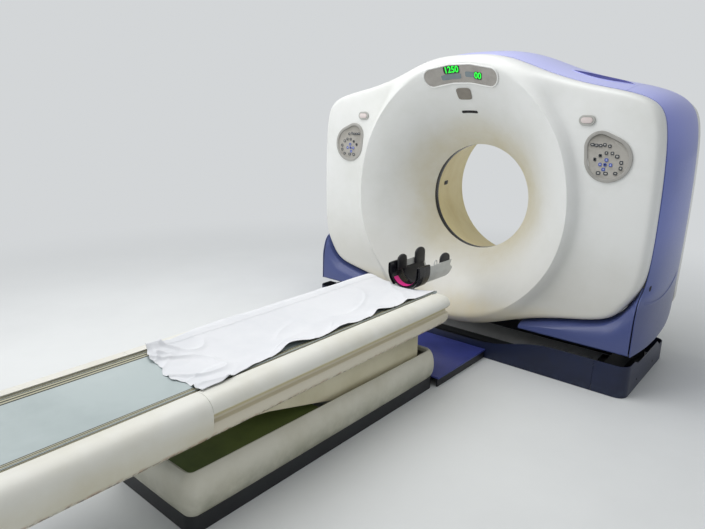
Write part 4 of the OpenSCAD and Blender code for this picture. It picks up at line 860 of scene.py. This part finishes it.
def head_rest():
    """The lining, cover, strap, flaps and ring of the head holder."""
    lining = swept(arc(LINING_R, -4, -176), half=0.0045, start=-0.735, end=-0.505, puff=0.001)
    given(lining, "head_rest_lining", foam_black, "cradle", "head_holder_pads", "head_holder_pads")
    # The cover goes up the trough's outside, over its lip and down the inside, and the same on the other side
    lip = 0.0085
    over = [(0.1010 + lip * math.cos(angle), TROUGH_Z + 0.034 + lip * math.sin(angle))
            for angle in (0.0, 0.8, 1.57, 2.34, 3.14)]
    path = arc(COVER_R, -52, -4, 8) + over + arc(LINING_R, -6, -90, 14)
    path += [(-x, z) for x, z in reversed(path[:-1])]
    cover = swept(path, half=0.0030, start=-0.858, end=-0.738, steps=18, puff=0.0012, waves=0.0012)
    given(cover, "head_rest_cover", vinyl_black, "cradle", "head_holder_pads")
    strap = swept(arc(STRAP_R, -34, -150, 30), half=0.0018, start=-0.850, end=-0.806, steps=6, waves=0.0010)
    given(strap, "head_rest_strap", strap_rose, "cradle", "head_holder_pads")
    foam_flap("left_near", x=-0.0840, y=-0.765, tall=0.094, half=0.042)
    foam_flap("left_far", x=-0.0977, y=-0.555, tall=0.100, half=0.050)
    foam_flap("right_far", x=0.0817, y=-0.552, tall=0.092, half=0.050)
    bpy.ops.mesh.primitive_torus_add(
        major_segments=32, minor_segments=10, major_radius=0.015, minor_radius=0.0032)
    ring = bpy.context.active_object
    x, y, z = STRAP_RING
    for v in ring.data.vertices:
        v.co = (x + v.co.z, y + v.co.x, z + 1.15 * v.co.y)
    bpy.ops.object.shade_smooth()
    given(ring, "head_rest_strap_ring", holder_grey, "cradle", "head_holder")


head_rest()


# Sheet
def cradle_height(x):
    """The cradle's dished top: an arc of a circle across it."""
    half, dip, top = 0.22, 0.024, 0.540
    radius = (half * half + dip * dip) / (2 * dip)
    return top - dip + radius - math.sqrt(max(radius * radius - x * x, 0))


def eased(value, low, high):
    """From 0 at low to 1 at high, with a soft start and end."""
    share = min(1.0, max(0.0, (value - low) / (high - low)))
    return share * share * (3 - 2 * share)


def ridge(a, b, c, sharp):
    """Thin creases where a noise crosses nought."""
    return max(0.0, 1 - abs(noise.noise(Vector((a, b, c)))) * sharp) ** 2


def hump(a, b, c):
    """Soft humps where a noise is above nought."""
    return max(0.0, noise.noise(Vector((a, b, c))))


# Across the table: the cradle's edge, and the crown of the roll beside it with its height
CRADLE_EDGE, ROLL_X, ROLL_Z = 0.212, 0.262, 0.5462


def table_height(x):
    """The height under the sheet: the cradle's dip, the slot beside it, then the crown of the side roll."""
    far = abs(x)
    if far < CRADLE_EDGE:
        return cradle_height(x)
    if far < ROLL_X:
        return 0.5412 + 0.0050 * eased(far, CRADLE_EDGE, 0.25)
    return ROLL_Z - 0.16 * (far - ROLL_X)


# Where the sheet's near edge stands up off the rail: place along Y, half length, share of the full height
TENTS = ((-1.93, 0.085, 1.0), (-1.62, 0.075, 0.55), (-1.33, 0.06, 0.75), (-1.10, 0.05, 0.4))
# The sheet's end by the gantry
SHEET_START = -0.838


def laid_sheet():
    """Thin cotton laid along the cradle: it follows the dip, stands up in creases along its near edge, and is
    rucked up at its far end, where one corner hangs over the table's edge."""
    bpy.ops.mesh.primitive_grid_add(x_subdivisions=120, y_subdivisions=400, size=1)
    piece = bpy.context.active_object
    for v in piece.data.vertices:
        # Across from -1 to 1 at the edge nearest the camera, and along from 0 at the gantry to 1
        out, down = v.co.x * 2, v.co.y + 0.5
        tail = eased(down, 0.74, 0.98)
        rough_y = SHEET_START - down * 1.6
        tent = max(math.exp(-((rough_y - at) / wide) ** 2) * tall for at, wide, tall in TENTS)
        near_edge = 0.2135 - 0.030 * tent - 0.008 * hump(down * 19, 4.4, 0) + 0.048 * tail * tail
        far_edge = 0.25 + 0.003 * math.sin(down * 17) - 0.045 * tail
        x = -0.03 + out * (near_edge + 0.03 if out > 0 else far_edge)
        y = SHEET_START - down * (1.575 + 0.026 * out)
        broad, small = noise.noise(Vector((out * 2.3, 5.2, 0))), noise.noise(Vector((out * 9, 1.2, 0)))
        y -= down ** 6 * (0.030 * broad + 0.010 * small)
        # Long soft swells and fine creases all over
        lift = 0.0022 + 0.0045 * hump(x * 6 + y * 1.5, y * 1.9 - x * 2, 1.7)
        lift += 0.0040 * ridge(x * 5 + y * 2.2, y * 1.6, 3.3, 7.0)
        # The near edge's tents, with creases that run in from them
        lift += max(0.0, out) ** 4 * (0.024 * tent + 0.006 * hump(y * 12, 0.3, 2.2)) * (1 - tail)
        lift += 0.006 * tent * ridge(x * 9 + y * 6, y * 3, 5.5, 5.0) * eased(out, 0.0, 0.8)
        # The rucked end, and its far corner
        rucks = 0.013 * ridge(x * 7 - y * 4, y * 5 + x * 3, 7.7, 4.5)
        lift += tail * (rucks + 0.010 * hump(x * 9, y * 9, 0.6))
        corner = eased(down, 0.90, 1.0) * eased(-out, 0.25, 0.9)
        lift += 0.020 * corner * (0.5 + ridge(x * 14, y * 16, 2.0, 3.5))
        v.co = (x, y, table_height(x) + lift)
    modifier(piece, "SOLIDIFY", thickness=0.0012, offset=0)
    bpy.ops.object.shade_smooth()
    given(piece, "cotton_sheet", sheet_cotton, "cradle", "sheet", "sheet")


laid_sheet()

# Studio: a pale room with no horizon, so the floor turns into the sky's tone with the distance
SKY, SKY_POWER, SKY_LIGHT = "#e9ecee", 0.80, 0.50
FLOOR_MIDDLE, FLOOR_NEAR, FLOOR_FAR = (0.0, -1.2, 0.0), 1.9, 5.5


def studio_floor():
    """Pale sheet vinyl, mixed into the sky's tone with the distance from the object."""
    tone = surface("studio_floor_pale", "#e6e8e8", "#e0e2e2", (0.45, 0.55), grain=6, bump=0.02, cloud=900)
    tree = tone.node_tree
    place = put(tree, "ShaderNodeTexCoord")
    away = put(tree, "ShaderNodeVectorMath", {0: (place, "Object"), 1: FLOOR_MIDDLE}, operation="SUBTRACT")
    reach = put(tree, "ShaderNodeVectorMath", {0: (away, "Vector")}, operation="LENGTH")
    far = put(tree, "ShaderNodeMapRange", {
        "Value": (reach, "Value"), "From Min": FLOOR_NEAR, "From Max": FLOOR_FAR},
        interpolation_type="SMOOTHSTEP")
    glow = put(tree, "ShaderNodeEmission", {"Color": linear(SKY), "Strength": SKY_POWER})
    mixed = put(tree, "ShaderNodeMixShader", {
        0: (far, "Result"), 1: (tree.nodes["Principled BSDF"], "BSDF"), 2: (glow, "Emission")})
    tree.links.new(mixed.outputs["Shader"], tree.nodes["Material Output"].inputs["Surface"])
    bpy.ops.mesh.primitive_plane_add(size=60, location=(0, 0, -0.0005))
    floor = bpy.context.active_object
    floor.name = "studio_floor"
    floor.data.materials.append(tone)


def soft_light(name, place, aim, size, power):
    """A square area light; its power is in watts."""
    turn = (Vector(aim) - Vector(place)).to_track_quat("-Z", "Y").to_euler()
    bpy.ops.object.light_add(type="AREA", location=place, rotation=turn)
    lamp = bpy.context.active_object
    lamp.name = name
    lamp.data.size = size
    lamp.data.energy = power


def studio_sky():
    """A plain sky that lights the object less than it shows to the camera."""
    world = bpy.data.worlds.new("studio_sky")
    bpy.context.scene.world = world
    world.use_nodes = True
    tree = world.node_tree
    back = tree.nodes["Background"]
    rays = put(tree, "ShaderNodeLightPath")
    power = put(tree, "ShaderNodeMapRange", {
        "Value": (rays, "Is Camera Ray"), "To Min": SKY_LIGHT, "To Max": SKY_POWER})
    tree.links.new(power.outputs["Result"], back.inputs["Strength"])
    back.inputs["Color"].default_value = linear(SKY)


studio_floor()
soft_light("ceiling_light", (-0.9, -1.2, 4.3), aim=(-0.2, -0.4, 0.5), size=4.0, power=118)
soft_light("front_light", (-2.9, -4.0, 2.9), aim=(0, -0.4, 0.9), size=3.0, power=62)
studio_sky()
